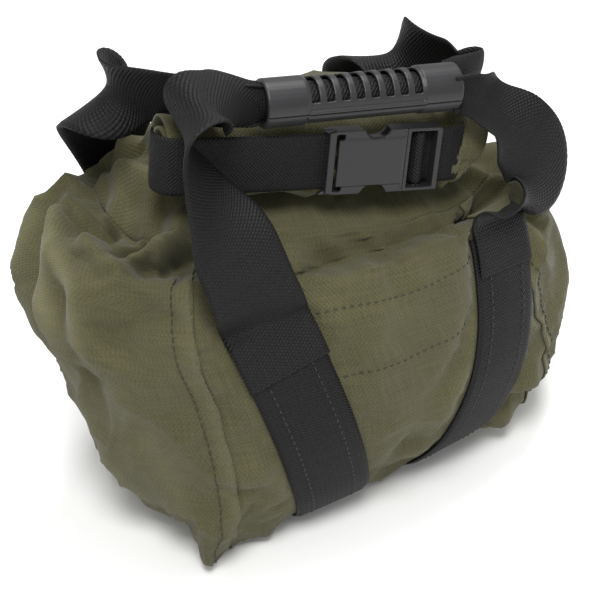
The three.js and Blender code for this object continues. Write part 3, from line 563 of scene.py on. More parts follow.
def place(piece, body, slot, *nodes):
    """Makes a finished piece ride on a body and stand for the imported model's nodes."""
    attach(piece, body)
    if nodes:
        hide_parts(*nodes)
    return piece


# ---- materials ---------------------------------------------------------------------------------------


def add_node(tree, kind, inputs=None, **settings):
    """Adds a node with its settings, and its sockets' values or links."""
    node = tree.nodes.new(kind)
    for key, value in settings.items():
        setattr(node, key, value)
    for key, value in (inputs or {}).items():
        if isinstance(value, bpy.types.NodeSocket):
            tree.links.new(value, node.inputs[key])
        else:
            node.inputs[key].default_value = value
    return node


def new_material(name):
    material = bpy.data.materials.new(name)
    material.use_nodes = True
    return material, material.node_tree, material.node_tree.nodes["Principled BSDF"]


def rgba(linear):
    return (*linear, 1.0)


def cotton_canvas():
    """Cotton canvas, plain woven and dyed olive: matt, with a grid of thread bumps and uneven dye."""
    sizes, colors = bpy.context.scene.sandbag_sizes, bpy.context.scene.sandbag_colors
    material, tree, shader = new_material("cotton_canvas_olive")
    # Real canvas has about 0.65 mm threads. Twice that shows in a render of the whole bag.
    wave = math.pi / sizes.thread
    where = add_node(tree, "ShaderNodeTexCoord")
    split = add_node(tree, "ShaderNodeSeparateXYZ", {0: where.outputs["UV"]})
    waves = []
    for axis in ("X", "Y"):
        run = add_node(tree, "ShaderNodeMath", {0: split.outputs[axis], 1: wave}, operation="MULTIPLY")
        waves.append(add_node(tree, "ShaderNodeMath", {0: run.outputs[0]}, operation="SINE"))
    weave = add_node(tree, "ShaderNodeMath", {0: waves[0].outputs[0], 1: waves[1].outputs[0]},
                     operation="MULTIPLY")
    # Slubs: threads that are a little thicker or thinner along their length.
    slubs = []
    for scale in ((40, 900, 1), (900, 40, 1)):
        stretched = add_node(tree, "ShaderNodeMapping", {"Vector": where.outputs["UV"], "Scale": scale})
        slubs.append(add_node(tree, "ShaderNodeTexNoise",
                              {"Vector": stretched.outputs[0], "Scale": 1.0, "Detail": 2.0}))
    slub = add_node(tree, "ShaderNodeMath", {0: slubs[0].outputs[0], 1: slubs[1].outputs[0]},
                    operation="ADD")
    mottle = add_node(tree, "ShaderNodeTexNoise",
                      {"Vector": where.outputs["Object"], "Scale": 22.0, "Detail": 4.0})
    # The weave shows as colour too, because light sinks between the threads.
    tone = add_node(tree, "ShaderNodeMath", {0: weave.outputs[0], 1: 0.13, 2: 0.5},
                    operation="MULTIPLY_ADD")
    tone = add_node(tree, "ShaderNodeMath", {0: slub.outputs[0], 1: 0.45, 2: tone.outputs[0]},
                    operation="MULTIPLY_ADD")
    tone = add_node(tree, "ShaderNodeMath", {0: mottle.outputs[0], 1: 0.35, 2: tone.outputs[0]},
                    operation="MULTIPLY_ADD")
    level = add_node(tree, "ShaderNodeMapRange",
                     {"Value": tone.outputs[0], "From Min": 0.75, "From Max": 1.5,
                      "To Min": 0.55, "To Max": 1.4})
    toned_color = add_node(tree, "ShaderNodeVectorMath", {0: tuple(colors.canvas)}, operation="SCALE")
    tree.links.new(level.outputs[0], toned_color.inputs["Scale"])
    worn = add_node(tree, "ShaderNodeAttribute", attribute_name="wear")
    soft = add_node(tree, "ShaderNodeMath", {0: worn.outputs["Fac"], 1: 0.5}, operation="MULTIPLY")
    mixed = add_node(tree, "ShaderNodeMix", {0: soft.outputs[0]}, data_type="RGBA")
    tree.links.new(toned_color.outputs[0], mixed.inputs[6])
    mixed.inputs[7].default_value = rgba(colors.canvas_worn)
    tree.links.new(mixed.outputs[2], shader.inputs["Base Color"])
    height = add_node(tree, "ShaderNodeMath", {0: slub.outputs[0], 1: 0.8, 2: weave.outputs[0]},
                      operation="MULTIPLY_ADD")
    bump = add_node(tree, "ShaderNodeBump",
                    {"Strength": 0.55, "Distance": 0.0003, "Height": height.outputs[0]})
    tree.links.new(bump.outputs[0], shader.inputs["Normal"])
    shader.inputs["Roughness"].default_value = 0.92
    shader.inputs["IOR"].default_value = 1.45
    shader.inputs["Specular IOR Level"].default_value = 0.25
    shader.inputs["Sheen Weight"].default_value = 0.12
    shader.inputs["Sheen Roughness"].default_value = 0.5
    return material


def webbing_cloth():
    """Polypropylene webbing, woven in ribs: black, with a faint highlight painted on the top of each rib."""
    sizes, colors = bpy.context.scene.sandbag_sizes, bpy.context.scene.sandbag_colors
    material, tree, shader = new_material("polypropylene_webbing_black")
    where = add_node(tree, "ShaderNodeTexCoord")
    split = add_node(tree, "ShaderNodeSeparateXYZ", {0: where.outputs["UV"]})
    waves = []
    for axis, pitch in (("X", 0.8 * sizes.rib), ("Y", 0.5 * sizes.rib)):
        run = add_node(tree, "ShaderNodeMath", {0: split.outputs[axis], 1: math.pi / pitch},
                       operation="MULTIPLY")
        waves.append(add_node(tree, "ShaderNodeMath", {0: run.outputs[0]}, operation="SINE"))
    knots = add_node(tree, "ShaderNodeMath", {0: waves[0].outputs[0], 1: waves[1].outputs[0]},
                     operation="MULTIPLY")
    fuzz = add_node(tree, "ShaderNodeTexNoise",
                    {"Vector": where.outputs["Object"], "Scale": 900.0, "Detail": 2.0})
    height = add_node(tree, "ShaderNodeMath", {0: fuzz.outputs[0], 1: 0.5, 2: knots.outputs[0]},
                      operation="MULTIPLY_ADD")
    # Painted highlight and shade: the colour follows the rib height, lighter on the tops of the ribs and
    # darker between them, with a little random fuzz.
    tone = add_node(tree, "ShaderNodeMapRange",
                    {"Value": height.outputs[0], "From Min": -0.7, "From Max": 1.3,
                     "To Min": 0.35, "To Max": 1.75})
    toned_color = add_node(tree, "ShaderNodeVectorMath", {0: tuple(colors.webbing)}, operation="SCALE")
    tree.links.new(tone.outputs[0], toned_color.inputs["Scale"])
    tree.links.new(toned_color.outputs[0], shader.inputs["Base Color"])
    bump = add_node(tree, "ShaderNodeBump",
                    {"Strength": 0.7, "Distance": 0.0004, "Height": height.outputs[0]})
    tree.links.new(bump.outputs[0], shader.inputs["Normal"])
    shader.inputs["Roughness"].default_value = 0.58
    shader.inputs["IOR"].default_value = 1.49
    shader.inputs["Specular IOR Level"].default_value = 0.22
    return material


def moulded_plastic():
    """Injection-moulded acetal, lightly textured in the mould: dark grey with a satin shine."""
    colors = bpy.context.scene.sandbag_colors
    material, tree, shader = new_material("moulded_acetal_grey")
    where = add_node(tree, "ShaderNodeTexCoord")
    grain = add_node(tree, "ShaderNodeTexNoise",
                     {"Vector": where.outputs["Object"], "Scale": 1400.0, "Detail": 2.0})
    rubbed = add_node(tree, "ShaderNodeTexNoise",
                      {"Vector": where.outputs["Object"], "Scale": 60.0, "Detail": 3.0})
    gloss = add_node(tree, "ShaderNodeMapRange",
                     {"Value": rubbed.outputs[0], "To Min": 0.36, "To Max": 0.52})
    tree.links.new(gloss.outputs[0], shader.inputs["Roughness"])
    tone = add_node(tree, "ShaderNodeMapRange",
                    {"Value": rubbed.outputs[0], "To Min": 0.85, "To Max": 1.15})
    toned_color = add_node(tree, "ShaderNodeVectorMath", {0: tuple(colors.plastic)}, operation="SCALE")
    tree.links.new(tone.outputs[0], toned_color.inputs["Scale"])
    tree.links.new(toned_color.outputs[0], shader.inputs["Base Color"])
    bump = add_node(tree, "ShaderNodeBump",
                    {"Strength": 0.25, "Distance": 0.0001, "Height": grain.outputs[0]})
    tree.links.new(bump.outputs[0], shader.inputs["Normal"])
    shader.inputs["IOR"].default_value = 1.48
    return material


def plain(name, hex_text, roughness, grain_scale, grain_depth, transmission=0.0):
    """A simple finish with a fine grain, for thread, film, strip and sand."""
    material, tree, shader = new_material(name)
    where = add_node(tree, "ShaderNodeTexCoord")
    grain = add_node(tree, "ShaderNodeTexNoise",
                     {"Vector": where.outputs["Object"], "Scale": grain_scale, "Detail": 4.0})
    tone = add_node(tree, "ShaderNodeMapRange",
                    {"Value": grain.outputs[0], "To Min": 0.75, "To Max": 1.2})
    toned_color = add_node(tree, "ShaderNodeVectorMath", {0: tuple(hex_color(hex_text))}, operation="SCALE")
    tree.links.new(tone.outputs[0], toned_color.inputs["Scale"])
    tree.links.new(toned_color.outputs[0], shader.inputs["Base Color"])
    bump = add_node(tree, "ShaderNodeBump",
                    {"Strength": 0.5, "Distance": grain_depth, "Height": grain.outputs[0]})
    tree.links.new(bump.outputs[0], shader.inputs["Normal"])
    shader.inputs["Roughness"].default_value = roughness
    shader.inputs["Transmission Weight"].default_value = transmission
    return material


_made = {}


def finish_of(name):
    """The named material, made the first time it is asked for."""
    makers = {
        "canvas": cotton_canvas,
        "webbing": webbing_cloth,
        "plastic": moulded_plastic,
        "canvas_thread": lambda: plain("polyester_thread_olive", "#26261a", 0.6, 900, 0.0001),
        "webbing_thread": lambda: plain("polyester_thread_black", "#242326", 0.5, 900, 0.0001),
        "film": lambda: plain("polyethylene_film", "#c9cbc4", 0.3, 40, 0.0004, 0.4),
        "strip": lambda: plain("polyethylene_strip", "#d8d8d2", 0.5, 200, 0.0001),
        "sand": lambda: plain("dry_play_sand", "#b49a6c", 0.95, 700, 0.0006),
    }
    if name not in _made:
        _made[name] = makers[name]()
    return _made[name]


_surface = []


def bag_surface():
    if not _surface:
        _surface.append(BagSurface())
    return _surface[0]


# ---- canvas panels --------------------------------------------------------------------------------

PANEL_LAP = {"left_end_panel": 2, "right_end_panel": 2}  # columns that an end panel laps over the next
WELT = 1.6  # how far a seam allowance stands up
WELT_WIDTH = 7.0


def panel_columns(name):
    """Column numbers of a panel in the bag's grid, with the lap of an end panel."""
    surface = bag_surface()
    low, high = SPANS[name]
    inside = np.where((surface.degrees >= low - 1e-6) & (surface.degrees <= high + 1e-6))[0]
    lap = PANEL_LAP.get(name, 0)
    count = len(surface.degrees)
    return np.arange(inside[0] - lap, inside[-1] + 1 + max(lap, 1)) % count


class SANDBAG_OT_canvas_panels(bpy.types.Operator):
    """The four sides of the bag: olive canvas that sags and folds over the sand, welted at its seams"""

    bl_idname = "sandbag.canvas_panels"
    bl_label = "Canvas panels"

    def execute(self, context):
        surface = bag_surface()
        thick = context.scene.sandbag_sizes.canvas * 1000
        for name in SPANS:
            columns = panel_columns(name)
            points, normals = surface.points[:, columns], surface.normals[:, columns]
            wear = surface.wear[:, columns]
            across = run_lengths(points, 1)
            width = across[:, -1:]
            edge = np.minimum(across, width - across)
            seam = np.exp(-((edge / WELT_WIDTH) ** 2))
            lapped = name in PANEL_LAP
            lift = seam * (WELT if lapped else -0.6)
            outer = points + normals * lift[..., None]
            inner = outer - normals * thick
            up = run_lengths(points, 0)
            uvs = np.stack([across, np.broadcast_to(up[:, up.shape[1] // 2][:, None], across.shape)], -1)
            worn = np.maximum(wear, 0.35 * seam if lapped else wear)
            piece = sheet_object("canvas_" + name, outer, inner, finish_of("canvas"), uvs, {"wear": worn})
            place(piece, "bag", "canvas", name)
        return {"FINISHED"}


class SANDBAG_OT_base_panel(bpy.types.Operator):
    """The bottom of the bag, sewn inside the turned-in lower edge of the sides"""

    bl_idname = "sandbag.base_panel"
    bl_label = "Base panel"

    def execute(self, context):
        surface = bag_surface()
        edge = surface.points[0].copy()
        edge[:, 2] = BASE_UP
        middle = edge.mean(0)
        shares = np.linspace(0, 0.97, 26)
        grid = middle + (edge - middle)[None] * shares[:, None, None]
        sag = 0.5 * wavy(grid, 40, 2.2)
        grid[..., 2] += np.abs(sag) * (shares[:, None] < 0.95)
        grid[0] = middle + (edge - middle) * 0.002
        thick = context.scene.sandbag_sizes.canvas * 1000
        upper = grid + [0, 0, thick]
        ring = np.vstack([grid, upper[::-1]])
        uvs = ring[..., :2]
        piece = closed_object("canvas_base_panel", ring, finish_of("canvas"), uvs)
        place(piece, "bag", "canvas", "base_panel")
        return {"FINISHED"}


class SANDBAG_OT_contents(bpy.types.Operator):
    """What the bag holds: sand in a tied film bag, and the flat strip in the mouth's hem"""

    bl_idname = "sandbag.contents"
    bl_label = "Contents"

    def execute(self, context):
        surface = bag_surface()
        smooth = surface.points[::3, ::3].copy()
        for _ in range(40):
            smooth[1:-1] = (smooth[:-2] + 2 * smooth[1:-1] + smooth[2:]) / 4
            smooth = (np.roll(smooth, 1, 1) + 2 * smooth + np.roll(smooth, -1, 1)) / 4
        rows = smooth, grid_normals(smooth, True, np.array([0, 0, BODY_HEIGHT / 2]))
        smooth_middle = np.array([4.0, 20.0, BODY_HEIGHT / 2])
        for name, inset, slot, nodes in (
            ("film_liner", 18.0, "liner", ("liner_bag",)),
            ("sand_heap", 20.0, "sand", ("sand_fill",)),
        ):
            grid = rows[0] - rows[1] * inset
            grid[0] = grid[0] * [0.98, 0.98, 1] + [0, 0, inset - 4]
            crown = grid[-1] * 0.5 + smooth_middle * 0.5
            crown[:, 2] = grid[-1][:, 2].min() + (4 if name == "film_liner" else 0)
            finish = finish_of("film" if name == "film_liner" else "sand")
            piece = closed_object(name, np.vstack([grid, crown[None]]), finish)
            place(piece, "bag", slot, *nodes)
        for node, finish in (("liner_tie", "strip"), ("mouth_stiffener", "strip")):
            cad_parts[node].data.materials.clear()
            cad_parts[node].data.materials.append(finish_of(finish))
        return {"FINISHED"}


# ---- webbing -----------------------------------------------------------------------------------------


ROUND_EDGE = 24  # how quickly the webbing reaches its full thickness in from an edge
WEB_COLUMNS = 15
WEB_RIB, STRAP_RIB, BORE_RIB = 0.16, 0.2, 0.25  # how far the ribs stand up


def webbing_grid(middles, across, faces, widths, thick, curls):
    """Outer and inner grids of a ribbon of webbing, ribbed across and rounded at its edges.

    middles, across and faces have one row for each step along the webbing."""
    shares = np.linspace(-0.5, 0.5, WEB_COLUMNS)
    shares = np.sign(shares) * np.abs(shares * 2) ** 0.8 / 2
    run = np.concatenate([[0], np.cumsum(np.linalg.norm(np.diff(middles, axis=0), axis=1))])
    rib = bpy.context.scene.sandbag_sizes.rib * 1000
    pitch = np.abs(np.sin(math.pi * run / rib))
    edge = np.clip((0.5 - np.abs(shares)) * ROUND_EDGE, 0, 1) ** 0.5
    height = thick / 2 * (0.45 + 0.55 * edge)[None] * np.ones((len(run), 1))
    height = height + WEB_RIB * pitch[:, None] * edge[None]
    scallop = 1 + 0.012 * pitch[:, None] * (np.abs(shares) > 0.49)
    bend = np.radians(np.maximum(np.abs(curls), 0.5))[:, None]
    radius = widths[:, None] / bend
    angle = shares[None] * bend
    drop = radius * (np.cos(angle) - 1) * np.sign(curls)[:, None]
    place_across = radius * np.sin(angle) * scallop
    centre = middles[:, None] + across[:, None] * place_across[..., None] + faces[:, None] * drop[..., None]
    outward = grid_normals(centre, False, centre - faces[:, None])
    uvs = np.stack(np.broadcast_arrays(shares[None] * 50 + 25, run[:, None]), -1)
    return centre + outward * height[..., None], centre - outward * height[..., None], uvs


ROW_STEP = 0.55  # spacing of points along the webbing, fine enough for its ribs


def centripetal(points, count):
    """Points and directions along the soft curve through stations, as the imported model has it."""
    points = np.asarray(points, float)
    ends = [2 * points[0] - points[1], 2 * points[-1] - points[-2]]
    padded = np.vstack([ends[0], points, ends[1]])
    at = np.linspace(0, len(points) - 1, count)
    low = np.minimum(at.astype(int), len(points) - 2)
    p = [padded[low + k] for k in range(4)]
    gaps = [np.maximum(np.linalg.norm(p[k + 1] - p[k], axis=1), 1e-4)[:, None] ** 0.5 for k in range(3)]
    start = (p[1] - p[0]) / gaps[0] - (p[2] - p[0]) / (gaps[0] + gaps[1]) + (p[2] - p[1]) / gaps[1]
    end = (p[2] - p[1]) / gaps[1] - (p[3] - p[1]) / (gaps[1] + gaps[2]) + (p[3] - p[2]) / gaps[2]
    start, end = start * gaps[1], end * gaps[1]
    f = (at - low)[:, None]
    curve = p[1] + start * f + (3 * (p[2] - p[1]) - 2 * start - end) * f**2
    curve = curve + (2 * (p[1] - p[2]) + start + end) * f**3
    return curve, unit(np.gradient(curve, axis=0)), at


def station_values(stations, key, at, fallback):
    """A value of the stations, such as the direction across, eased between one and the next."""
    values = np.array([s.get(key, fallback) for s in stations], float)
    low = np.minimum(at.astype(int), len(stations) - 2)
    f = at - low
    ease = f * f * (3 - 2 * f)
    ease = ease[:, None] if values.ndim > 1 else ease
    return values[low] * (1 - ease) + values[low + 1] * ease


LOOP_EASE = 14.0  # length of webbing over which its turns are eased, as its stiffness does


def eased_rows(rows, reach):
    """Rows along the webbing, each averaged with its neighbours; the two ends stay where they are."""
    half = int(reach / ROW_STEP)
    window = np.hanning(2 * half + 1)
    window = window / window.sum()
    head, tail = 2 * rows[0] - rows[half:0:-1], 2 * rows[-1] - rows[-2 : -half - 2 : -1]
    padded = np.vstack([head, rows, tail])
    return np.stack([np.convolve(padded[:, k], window, "valid") for k in range(3)], -1)


def ribbon(name, stations, thick, width):
    """Webbing that runs through stations, and its length. A station may set its width and its curl."""
    rough = np.array([s["at"] for s in stations])
    total = np.linalg.norm(np.diff(rough, axis=0), axis=1).sum()
    middles, along, at = centripetal(rough, int(total / ROW_STEP))
    across = unit(station_values(stations, "across", at, (0, 0, 1)))
    widths = station_values(stations, "width", at, width)
    curls = station_values(stations, "curl", at, 0.0)
    middles, across = eased_rows(middles, LOOP_EASE), unit(eased_rows(across, LOOP_EASE))
    along = unit(np.gradient(middles, axis=0))
    faces = unit(np.cross(along, across))
    across = unit(np.cross(faces, along))
    outer, inner, uvs = webbing_grid(middles, across, faces, widths, thick, curls)
    return sheet_object(name, outer, inner, finish_of("webbing"), uvs), total


def strap_stations(strap, step):
    """Levels and sides along a body strap, from the front top, under the belly, to the back top."""
    front = [(level, -1) for level in np.arange(strap["front_top"], 0, -step)]
    back = [(level, 1) for level in np.arange(0, strap["back_top"] + 1e-6, step)]
    return front + back


def strap_grid(strap):
    """Outer and inner grids of a body strap, laid on the smooth bag and ribbed."""
    spots = strap_stations(strap, 0.1)
    level = np.array([s[0] for s in spots])
    side = np.array([s[1] for s in spots], float)
    shares = np.linspace(-0.5, 0.5, WEB_COLUMNS)
    x = strap_middle(strap, level)[:, None] + shares * WEB_WIDTH
    coarse = face_skin(x, level[:, None], side[:, None])
    run = run_lengths(coarse, 0)[:, 7]
    fine = np.arange(0, run[-1], ROW_STEP)
    grid = np.stack([[np.interp(fine, run, coarse[:, c, k]) for k in range(3)]
                     for c in range(len(shares))], 0)
    grid = np.moveaxis(grid, (0, 1), (1, 2))
    soft = smoothed_rows(grid, 10)
    normals = grid_normals(soft, False, np.array([0, 0, BODY_HEIGHT / 2]))
    thick = bpy.context.scene.sandbag_sizes.webbing * 1000
    rib = bpy.context.scene.sandbag_sizes.rib * 1000
    edge = np.clip((0.5 - np.abs(shares)) * ROUND_EDGE, 0, 1) ** 0.5
    ridge = STRAP_RIB * np.abs(np.sin(math.pi * fine / rib))[:, None] * edge
    top = STRAP_LIFT + thick * (0.6 + 0.4 * edge)[None] + ridge
    uvs = np.stack(np.broadcast_arrays((shares * WEB_WIDTH + 25)[None], fine[:, None]), -1)
    return soft + normals * top[..., None], soft + normals * STRAP_LIFT, uvs, run[-1]


def smoothed_rows(grid, times):
    for _ in range(times):
        grid[1:-1] = (grid[:-2] + 2 * grid[1:-1] + grid[2:]) / 4
    return grid


class SANDBAG_OT_body_straps(bpy.types.Operator):
    """The two straps sewn round the body: black ribbed webbing, up the front, under and up the back"""

    bl_idname = "sandbag.body_straps"
    bl_label = "Body straps"

    def execute(self, context):
        for side, strap in STRAPS.items():
            outer, inner, uvs, run = strap_grid(strap)
            name = "belly_strap_" + side
            piece = sheet_object("webbing_" + name, outer, inner, finish_of("webbing"), uvs)
            place(piece, "bag", "webbing", name)
            for inset in (3, 11):
                across = outer[:, inset]
                rows = across[8:-8]
                normals = unit(np.cross(np.gradient(rows, axis=0), outer[8:-8, 12] - outer[8:-8, 2]))
                facing = np.sum(normals * (rows - [0, 0, BODY_HEIGHT / 2]), -1, keepdims=True)
                normals = normals * np.where(facing < 0, -1, 1)
                stitches("stitching_%s_%d" % (name, inset), rows, normals, "webbing_thread", 0.3)
        return {"FINISHED"}


# ---- stitches ---------------------------------------------------------------------------------------


def stitches(name, path, normals, thread, sunk, body="bag"):
    """A row of stitches along a path: short rounded threads, each dipping in at its ends."""
    size = bpy.context.scene.sandbag_sizes.stitch * 1000
    run = np.concatenate([[0], np.cumsum(np.linalg.norm(np.diff(path, axis=0), axis=1))])
    starts = np.arange(0.5, run[-1] - size, size * 1.35)
    points, faces = [], []
    sides, radius = 6, 0.42
    shares = np.linspace(0, 1, 6)
    for start in starts:
        at = start + shares * size
        line = np.stack([np.interp(at, run, path[:, k]) for k in range(3)], -1)
        normal = unit(np.stack([np.interp(at, run, normals[:, k]) for k in range(3)], -1))
        along = unit(np.gradient(line, axis=0))
        side = unit(np.cross(along, normal))
        arch = np.sin(math.pi * shares) ** 0.5
        line = line + normal * (radius * (1.5 * arch - 1) - sunk * 0.2)[:, None]
        thick = radius * (0.35 + 0.65 * arch)
        turn = np.linspace(0, 2 * math.pi, sides, endpoint=False)
        ring = (np.cos(turn)[None, :, None] * side[:, None] + np.sin(turn)[None, :, None] * normal[:, None])
        block = (line[:, None] + ring * thick[:, None, None]).reshape(-1, 3)
        base = sum(len(b) for b in points)
        points.append(block)
        faces += [tuple(f) for f in grid_faces(len(shares), sides, base, closed=True)]
        faces += [tuple(base + i for i in range(sides))[::-1]]
        last = base + (len(shares) - 1) * sides
        faces += [tuple(last + i for i in range(sides))]
    slot = "canvas" if thread == "canvas_thread" else "webbing"
    made = new_object(name, np.vstack(points), faces, finish_of(thread))
    return place(made, body, slot)


SEAM_STITCH = 2.4  # degrees from an upright seam to the stitches beside it, on the end panel
WELT_STAND = 0.9  # how far the end panel stands out under those stitches
# The two rows across the front: points as (degrees, level).
SEWN_ROWS = {
    "upper": [(255, 6.35), (262, 6.45), (270, 6.45), (279, 6.5), (288, 6.6), (296, 6.7)],
    "lower": [(258, 5.15), (264, 5.2), (270, 5.2), (277, 5.3), (286, 5.4)],
}


class SANDBAG_OT_stitching(bpy.types.Operator):
    """Rows of stitching on the canvas: two across the front, and one beside each upright seam"""

    bl_idname = "sandbag.stitching"
    bl_label = "Stitching"

    def execute(self, context):
        surface = bag_surface()
        for name, line in SEWN_ROWS.items():
            soft = smooth_line(line, 120)
            points, normals = surface.at(soft[:, 0], soft[:, 1])
            stitches("stitching_front_" + name, points, normals, "canvas_thread", 0.2)
        level = np.linspace(1.0, 7.2, 160)
        for name, panel, end, inward in (
            ("front_left", "front_panel", 0, -SEAM_STITCH),
            ("front_right", "front_panel", 1, SEAM_STITCH),
            ("back_left", "back_panel", 1, SEAM_STITCH),
            ("back_right", "back_panel", 0, -SEAM_STITCH),
        ):
            points, normals = surface.at(np.full(160, SPANS[panel][end] + inward), level)
            points = points + normals * WELT_STAND
            stitches("stitching_seam_" + name, points, normals, "canvas_thread", 0.2)
        return {"FINISHED"}


# ---- handle loops ---------------------------------------------------------------------------------------

GRIP_LENGTH, GRIP_D, GRIP_WALL = 115.0, 27.0, 2.4
BORE_R = GRIP_D / 2 - GRIP_WALL
SEWN_OVER = 1.5  # how far the loop stands over the end of the body strap it is sewn to
BUNCHED = 30.0  # arc of the webbing where it is gathered to enter the grip

LOOPS = {
    "front_left": [
        {"at": (-72, -76, 183), "across": (1, 0, -0.1)},
        {"at": (-79, -66, 214), "across": (0.95, -0.1, -0.25)},
        {"at": (-89, -54, 243), "across": (0.75, 0.5, -0.35)},
        {"at": (-94, -44, 268), "across": (0.4, 0.8, -0.3)},
        {"at": (-84, -37, 288), "across": (0, 0.95, 0.2), "curl": 25},
        {"at": (-66, -35, 286), "across": (0, 0.8, 0.6), "width": 42, "curl": 80},
    ],
    "back_left": [
        {"at": (-82, 84, 212), "across": (-0.95, -0.1, -0.15)},
        {"at": (-98, 64, 244), "across": (-0.75, 0.2, -0.5)},
        {"at": (-101, 39, 262), "across": (-0.4, 0.5, -0.7), "curl": 15},
        {"at": (-90, 20, 270), "across": (-0.1, 0.6, -0.75), "width": 46, "curl": 25},
        {"at": (-66, -2, 272), "across": (0, 0.4, -0.9), "width": 38, "curl": 60},
    ],
    "front_right": [
        {"at": (112, -70, 180), "across": (0.8, 0.4, -0.3)},
        {"at": (123, -66, 190), "across": (0.9, 0.1, -0.3)},
        {"at": (124, -62, 205), "across": (0.95, 0, -0.3)},
        {"at": (112, -58, 224), "across": (0.8, 0.1, 0.4), "width": 48, "curl": 15},
        {"at": (95, -51, 240), "across": (0.5, 0.7, 0.2), "width": 40, "curl": 50},
    ],
    "back_right": [
        {"at": (94, 74, 200), "across": (-0.95, 0, 0.1)},
        {"at": (80, 58, 226), "across": (-0.9, 0.3, 0.1)},
        {"at": (80, 36, 240), "across": (-0.75, 0.5, -0.15), "curl": 15},
        {"at": (104, 4, 241), "across": (-0.1, 0.5, -0.85), "width": 44, "curl": 30},
        {"at": (108, -22, 244), "across": (0.3, 0.6, -0.6), "width": 36, "curl": 60},
    ],
}


def loop_stations(name):
    """A loop's stations from where its body strap leaves the canvas to inside the end of the grip."""
    face, side = name.split("_")
    outer, inner, _, _ = strap_grid(STRAPS[side])
    grid = (outer + inner) / 2
    grid = grid if face == "front" else grid[::-1]
    outward = unit(np.cross(np.gradient(grid[:60], axis=0), grid[:60, -1:] - grid[:60, :1]))
    outward = outward[:, 7] * np.sign(np.sum(outward[:, 7] * (grid[:60, 7] - [0, 0, 95]), -1, keepdims=True))
    hint = np.array(LOOPS[name][0]["across"])
    start = []
    for row in (45, 30, 15, 1):
        across = unit(grid[row, -1] - grid[row, 0])
        across = across * (1 if across @ hint > 0 else -1)
        start.append({"at": grid[row, 7] + outward[row] * SEWN_OVER, "across": across})
    onward = unit(grid[1, 7] - grid[8, 7])
    start.append({"at": start[-1]["at"] + onward * 9, "across": across})
    sign = -1 if side == "left" else 1
    offset = (-1 if face == "front" else 1) * BORE_R * 0.42
    reach = GRIP_LENGTH / 2 - 4
    mouth = from_grip([sign * reach, offset, 0])
    outside = from_grip([sign * (GRIP_LENGTH / 2 + 5), offset, 0])
    up = from_grip([0, 0, 1]) - from_grip([0, 0, 0])
    last = np.array(LOOPS[name][-1]["across"])
    up = up * (1 if up @ last > 0 else -1)
    finish = [{"at": outside, "across": up, "width": BUNCHED, "curl": 120},
              {"at": mouth, "across": up, "width": BUNCHED - 4, "curl": 130}]
    return start + LOOPS[name] + finish


class SANDBAG_OT_handle_loops(bpy.types.Operator):
    """The four free runs of webbing, which rise from the body straps and gather into the grip"""

    bl_idname = "sandbag.handle_loops"
    bl_label = "Handle loops"

    def execute(self, context):
        thick = context.scene.sandbag_sizes.webbing * 1000
        for name in LOOPS:
            stations = loop_stations(name)
            piece, run = ribbon("webbing_handle_loop_" + name, stations, thick, WEB_WIDTH)
            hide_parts("handle_loop_" + name)
            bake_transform(piece)
        return {"FINISHED"}


# ---- moulded pieces -----------------------------------------------------------------------------------


def moulded(name, parts, voxel, rounds, body, nodes):
    """Joins closed parts into one skin of small faces, in mm, and softens its edges a few rounds."""
    mesh = bpy.data.meshes.new(name)
    work = bmesh.new()
    for part in parts:
        work.from_mesh(part)
    work.to_mesh(mesh)
    work.free()
    made = bpy.data.objects.new(name, mesh)
    bpy.context.scene.collection.objects.link(made)
    remesh = made.modifiers.new("one skin", "REMESH")
    remesh.mode = "VOXEL"
    remesh.voxel_size = voxel / 1000
    remesh.adaptivity = 0.0
    ease = made.modifiers.new("soft edges", "SMOOTH")
    ease.factor = 0.5
    ease.iterations = rounds
    evaluated = made.evaluated_get(bpy.context.evaluated_depsgraph_get())
    final = bpy.data.meshes.new_from_object(evaluated)
    made.modifiers.clear()
    made.data = final
    final.name = name
    final.shade_smooth()
    final.materials.clear()
    final.materials.append(finish_of("plastic"))
    return place(made, body, "plastic", *nodes)


def node_mesh(name):
    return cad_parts[name].data


def block_mesh(low, high, transform):
    """A box between two corners of a turned group's frame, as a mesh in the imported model's frame."""
    corners = np.array([[x, y, z] for x in (low[0], high[0]) for y in (low[1], high[1])
                        for z in (low[2], high[2])], float)
    mesh = bpy.data.meshes.new("block")
    faces = [(0, 1, 3, 2), (4, 6, 7, 5), (0, 4, 5, 1), (2, 3, 7, 6), (0, 2, 6, 4), (1, 5, 7, 3)]
    mesh.from_pydata(to_frame(transform(corners)).tolist(), [], faces)
    outward_faces(mesh)
    return mesh


def prism_mesh(outline, depth, transform):
    """An outline in X and Z drawn out along Y, in a turned group's frame."""
    count = len(outline)
    front = [(x, depth[0], z) for x, z in outline]
    back = [(x, depth[1], z) for x, z in outline]
    faces = [tuple(range(count)), tuple(range(2 * count - 1, count - 1, -1))]
    faces += [(i, (i + 1) % count, (i + 1) % count + count, i + count) for i in range(count)]
    mesh = bpy.data.meshes.new("prism")
    mesh.from_pydata(to_frame(transform(front + back)).tolist(), [], faces)
    work = bmesh.new()
    work.from_mesh(mesh)
    bmesh.ops.recalc_face_normals(work, faces=work.faces)
    bmesh.ops.triangulate(work, faces=work.faces)
    work.to_mesh(mesh)
    work.free()
    outward_faces(mesh)
    return mesh


